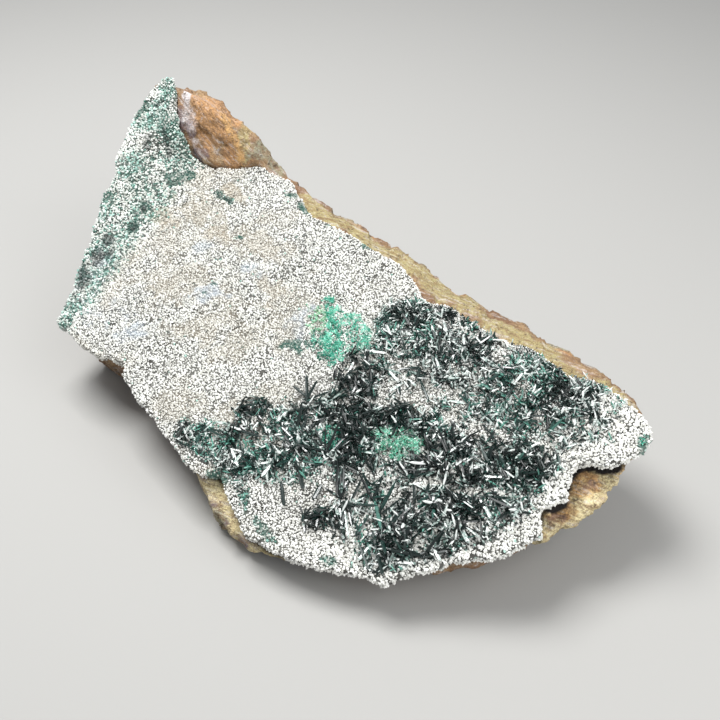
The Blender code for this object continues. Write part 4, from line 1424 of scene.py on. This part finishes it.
def mats(slab: Slab) -> list[CrystalMat]:
    """The four mats of needles, bed by bed, with the numbers of their biggest crystals."""
    return [
        CrystalMat("crystal_needles_upper", slab, 51, ("crystal_mat_upper",), (
            Bed(((0.1, 13.1), (1.9, 18.5), (8.4, 21), (15.8, 21.2), (22.9, 17.8), (30.1, 15.4),
                 (37.6, 13.4), (44.5, 12.6), (51.6, 10.4), (58.6, 9), (61.8, 5.5), (64, -1.5),
                 (63, -5.2), (59.2, -7.6), (55.3, -10.5), (49.4, -10.4), (41.8, -9.2),
                 (34.6, -9.5), (27.2, -9.7), (21.1, -6.9), (18.9, 1.2), (13.9, 2.8), (9.1, 1.5),
                 (4.6, 4), (1, 7.8)),
                (1.44, 1.44, 0.11, 0, 1.6), 0.5, 0.38),
            Bed(((1.3, 14.4), (6.4, 20), (14.8, 19.5), (18.6, 12.4), (12.5, 6.7), (6.8, 7.7)),
                (1.04, 1.08, 0.11), 0.22, 0.12),
            Bed(((42, 7.2), (51.1, 9.7), (58.8, 8), (62.4, -0.8), (59.9, -5.7), (53, -6.5),
                 (46.1, -3), (41.4, 2.1)),
                (1.28, 1.15, 0.09), 0.22, 0.16),
            Bed(((20, 19.6), (30.9, 18), (45, 13.6), (40, 10), (26, 13)),
                (0.4, 0.36, 0, 0, 2.5), 0.6, 0.5),
            Bed(((52, 11.4), (60.9, 9.6), (66, 6.4), (64, 2), (58, 6)),
                (0.48, 0.43, 0, 0, 2.5), 0.9, 0.55),
        )),
        CrystalMat("crystal_needles_centre", slab, 52,
                   ("crystal_mat_centre", "crystal_clump_dark"), (
            Bed(((-23.6, -26.2), (-18.6, -20.6), (-10.5, -15), (-3.5, -11.9), (0.8, -12.4),
                 (9.5, -10.9), (14, -8.8), (21.1, -6.9), (27.2, -9.7), (34.6, -9.5), (41.8, -9.2),
                 (49.4, -10.4), (55.3, -10.5), (55.4, -15.3), (53.2, -20), (48.6, -24.1),
                 (41.9, -25.4), (32.9, -27), (23.2, -27.6), (13.6, -29), (7.3, -29.4),
                 (1.9, -28.9), (-7.3, -28.9), (-18.8, -27.6)),
                (1.28, 1.08, 0.31, 0.04, 1.2), 0.3, 0.3),
            Bed(((17.5, -18.5), (26, -13.9), (39.9, -10.9), (50.7, -10.8), (53.7, -15.9),
                 (50.2, -21.8), (41.6, -24.5), (30.2, -26.2), (21.1, -25.1)),
                (1.12, 1.15, 0.2), 0.12, 0.08),
            Bed(((-1.7, -13.1), (9.7, -11.4), (19.9, -10.9), (24, -16.7), (22.4, -25.2),
                 (13, -27.3), (3.1, -25.3)),
                (0.8, 0.86, 0.23), 0.16, 0.1),
            Bed(((-4.8, 1.7), (4.8, 5.6), (8.6, 0.5), (8.4, -4.1), (9.1, -9.6), (0.8, -12.4),
                 (-3.5, -11.9), (-4.5, -5.9)),
                (0.96, 0.86, 0.32), 0.28, 0.22),
            Bed(((-3.6, -4.8), (3, -1.9), (6.7, -7.4), (4.9, -11.3), (-0.9, -11.7)),
                (0.8, 0.86, 0.27), 0.1, 0.08),
            Bed(((4.4, -0.6), (18, 3), (23.5, -6.2), (10.4, -9.6)),
                (0.2, 0.25, 0.13), 0.2, 0.4),
            Bed(((22.1, -17.2), (31.4, -18.7), (31.9, -23.9), (25.8, -24.3)),
                (0.96, 0.58), 0.9, 0.1),
            Bed(((-24.4, -21.4), (-23.1, -18.3), (-18.7, -16.7), (-15.5, -18.8), (-17.8, -22.4),
                 (-22.2, -23.7)),
                (3.2, 2.16, 0.27), 0.15, 0.05, patchy=0.25),
        ), (
            (0.5, 2.4, 6.5, 2.6, 0.8, 0.6, 0, 1), (-8, -15.7, -11, -8.5, 0.9, 1.2),
            (-8.6, -15.2, -7.4, -9.6, 0.8, 1.6), (-8, -14.3, -13.2, -12.4, 0.8, 0.9),
            (-8, -14.3, -3.6, -11.6, 0.8, 0.8), (5.1, -16.9, 11, -11.4, 0.7, 0.8, 0, 0.6),
            (16.8, -1.8, 21.4, -7.7, 0.7, 0.9, 0.2), (-0.6, -4, -1.6, -10.4, 1.2, 1),
            (4.4, -2.7, 6.5, -10.4, 1.3, 0.8), (3, -3.2, 2.2, -10.8, 1.1, 1.1),
            (-10.5, -21.4, 0.4, -27, 1, 0.9, 0.3, 0.3), (-11.3, -22.6, -0.3, -28, 1, 0.8, 0.5),
            (-11.6, -23.6, -1.4, -28.9, 0.9, 0.7, 0.1),
            (38.7, -22.7, 44.3, -21.6, 0.8, 0.9, 0, 0.9), (2, -24.5, 8, -19, 0.9, 1.4, 0.1),
        )),
        CrystalMat("crystal_needles_left", slab, 53, ("crystal_mat_left",), (
            Bed(((-38, -31.6), (-37.9, -28), (-32.6, -28.4), (-23.6, -26.2), (-18.8, -27.6),
                 (-7.3, -28.9), (1.9, -28.9), (7.3, -29.4), (7.1, -31.6), (1, -34.6),
                 (-5.8, -37.1), (-10.5, -38.5), (-15.5, -38.4), (-20.8, -38.4), (-26.7, -37.4),
                 (-32.8, -35.8)),
                (0.88, 0.72, 0.14, 0.02, 1.4), 0.95, 0.5),
            Bed(((-31.6, -30.4), (-15.8, -28.2), (-4.7, -29), (-2.2, -34), (-11.5, -37.2),
                 (-21, -37.3), (-28.7, -35.8)),
                (0.96, 0.72, 0, 0, 4.5), 0.95, 0.3),
            Bed(((-26, -26), (-14, -25.6), (-8, -30), (-16, -34), (-26, -32)),
                (0.32, 0.29, 0.13), 0.15, 0.12),
            Bed(((-29, -36.1), (-17.5, -36.8), (-12.2, -43.1), (-12.6, -45.4), (-16.6, -43),
                 (-21, -39)),
                (0.48, 0.36, 0, 0, 3.5), 0.9, 0.4),
        ), (
            (-21.5, -32.6, -17.5, -36.8, 0.8, 0.8, 0.2, 0.7),
            (-23, -27.5, -15.3, -28, 0.9, 0.9, 0.1), (-6, -37.2, -3, -42.6, 0.9, 0.5, 0.1),
            (-3.2, -32.6, -0.1, -37.4, 1.2, 0.6, 0.05),
        )),
        CrystalMat("crystal_needles_lower", slab, 54,
                   ("crystal_mat_lower", "crystal_clump_edge"), (
            Bed(((7.3, -29.4), (13.6, -29), (23.2, -27.6), (32.9, -27), (41.9, -25.4),
                 (48.6, -24.1), (53.2, -20), (54.6, -23.1), (52.4, -29.9), (47.4, -35.2),
                 (41.6, -39.6), (35.9, -43.7), (30.3, -48), (25.2, -50.2), (19.9, -49.2),
                 (16.2, -46), (13.4, -40.6), (9.6, -35.4)),
                (0.8, 0.72, 0.31, 0.06, 1.2), 0.42, 0.5),
            Bed(((9, -29), (28.6, -27.7), (41, -26.4), (44, -30), (33.1, -35), (28.7, -43.5),
                 (21.7, -40.7), (14.1, -36.2)),
                (0.64, 0.58, 0.2), 0.12, 0.1),
            Bed(((2.4, -26.8), (7.1, -25.5), (11.7, -36.1), (15, -46.3), (12.3, -47.1),
                 (7.8, -37.2)),
                (0.24, 0.29, 0.25, 0.08), 0.15, 0.35),
            Bed(((2.1, -41.9), (5.3, -39.5), (9.2, -38.8), (11.4, -43.2), (5.5, -46.5)),
                (2.4, 1.58, 0.36), 0.15, 0.14, patchy=0.25),
            Bed(((46, -17.4), (52.5, -17), (54.6, -22), (52.6, -24.6), (47, -21)),
                (0.72, 0.58, 0, 0, 2), 0.9, 0.35),
        ), (
            (8.9, -37.2, 14.2, -47, 1.3, 0.9, 0.05, 0.24),
            (10.4, -37.6, 14.9, -45.8, 0.45, 1.3, 0, 0.55),
            (3.5, -34.8, 3.2, -39.2, 1.2, 0.8, 0.1), (20, -44.9, 18.6, -49.6, 0.9, 1, 0.1, 0.5),
            (33.1, -41, 36.4, -44.4, 0.9, 0.9, 0, 0.7), (22.1, -46.6, 25.1, -51.2, 0.9, 0.8, 0.1),
            (37.1, -34.3, 41.3, -39, 1, 1.2, 0.4, 0.6), (40.4, -27.9, 44.6, -32.4, 1, 1, 0.1, 0.5),
            (5, -27, 9.4, -36, 1.1, 1.2, 0.1, 0.3),
        )),
    ]


def main() -> None:
    """Builds the specimen's pieces and the room round them."""
    logging.basicConfig(level=logging.INFO, format="%(message)s")
    HostRock(SLAB).build()
    carpets = mats(SLAB)
    DruseCrust(SLAB, overgrown=tuple(mat.beds[0].ring for mat in carpets)).build()
    needle = NeedleCrystal().material()
    for carpet in carpets:
        carpet.build(needle)
    GreenTufts(SLAB).build()
    Studio().build()


if __name__ == "__main__":
    main()
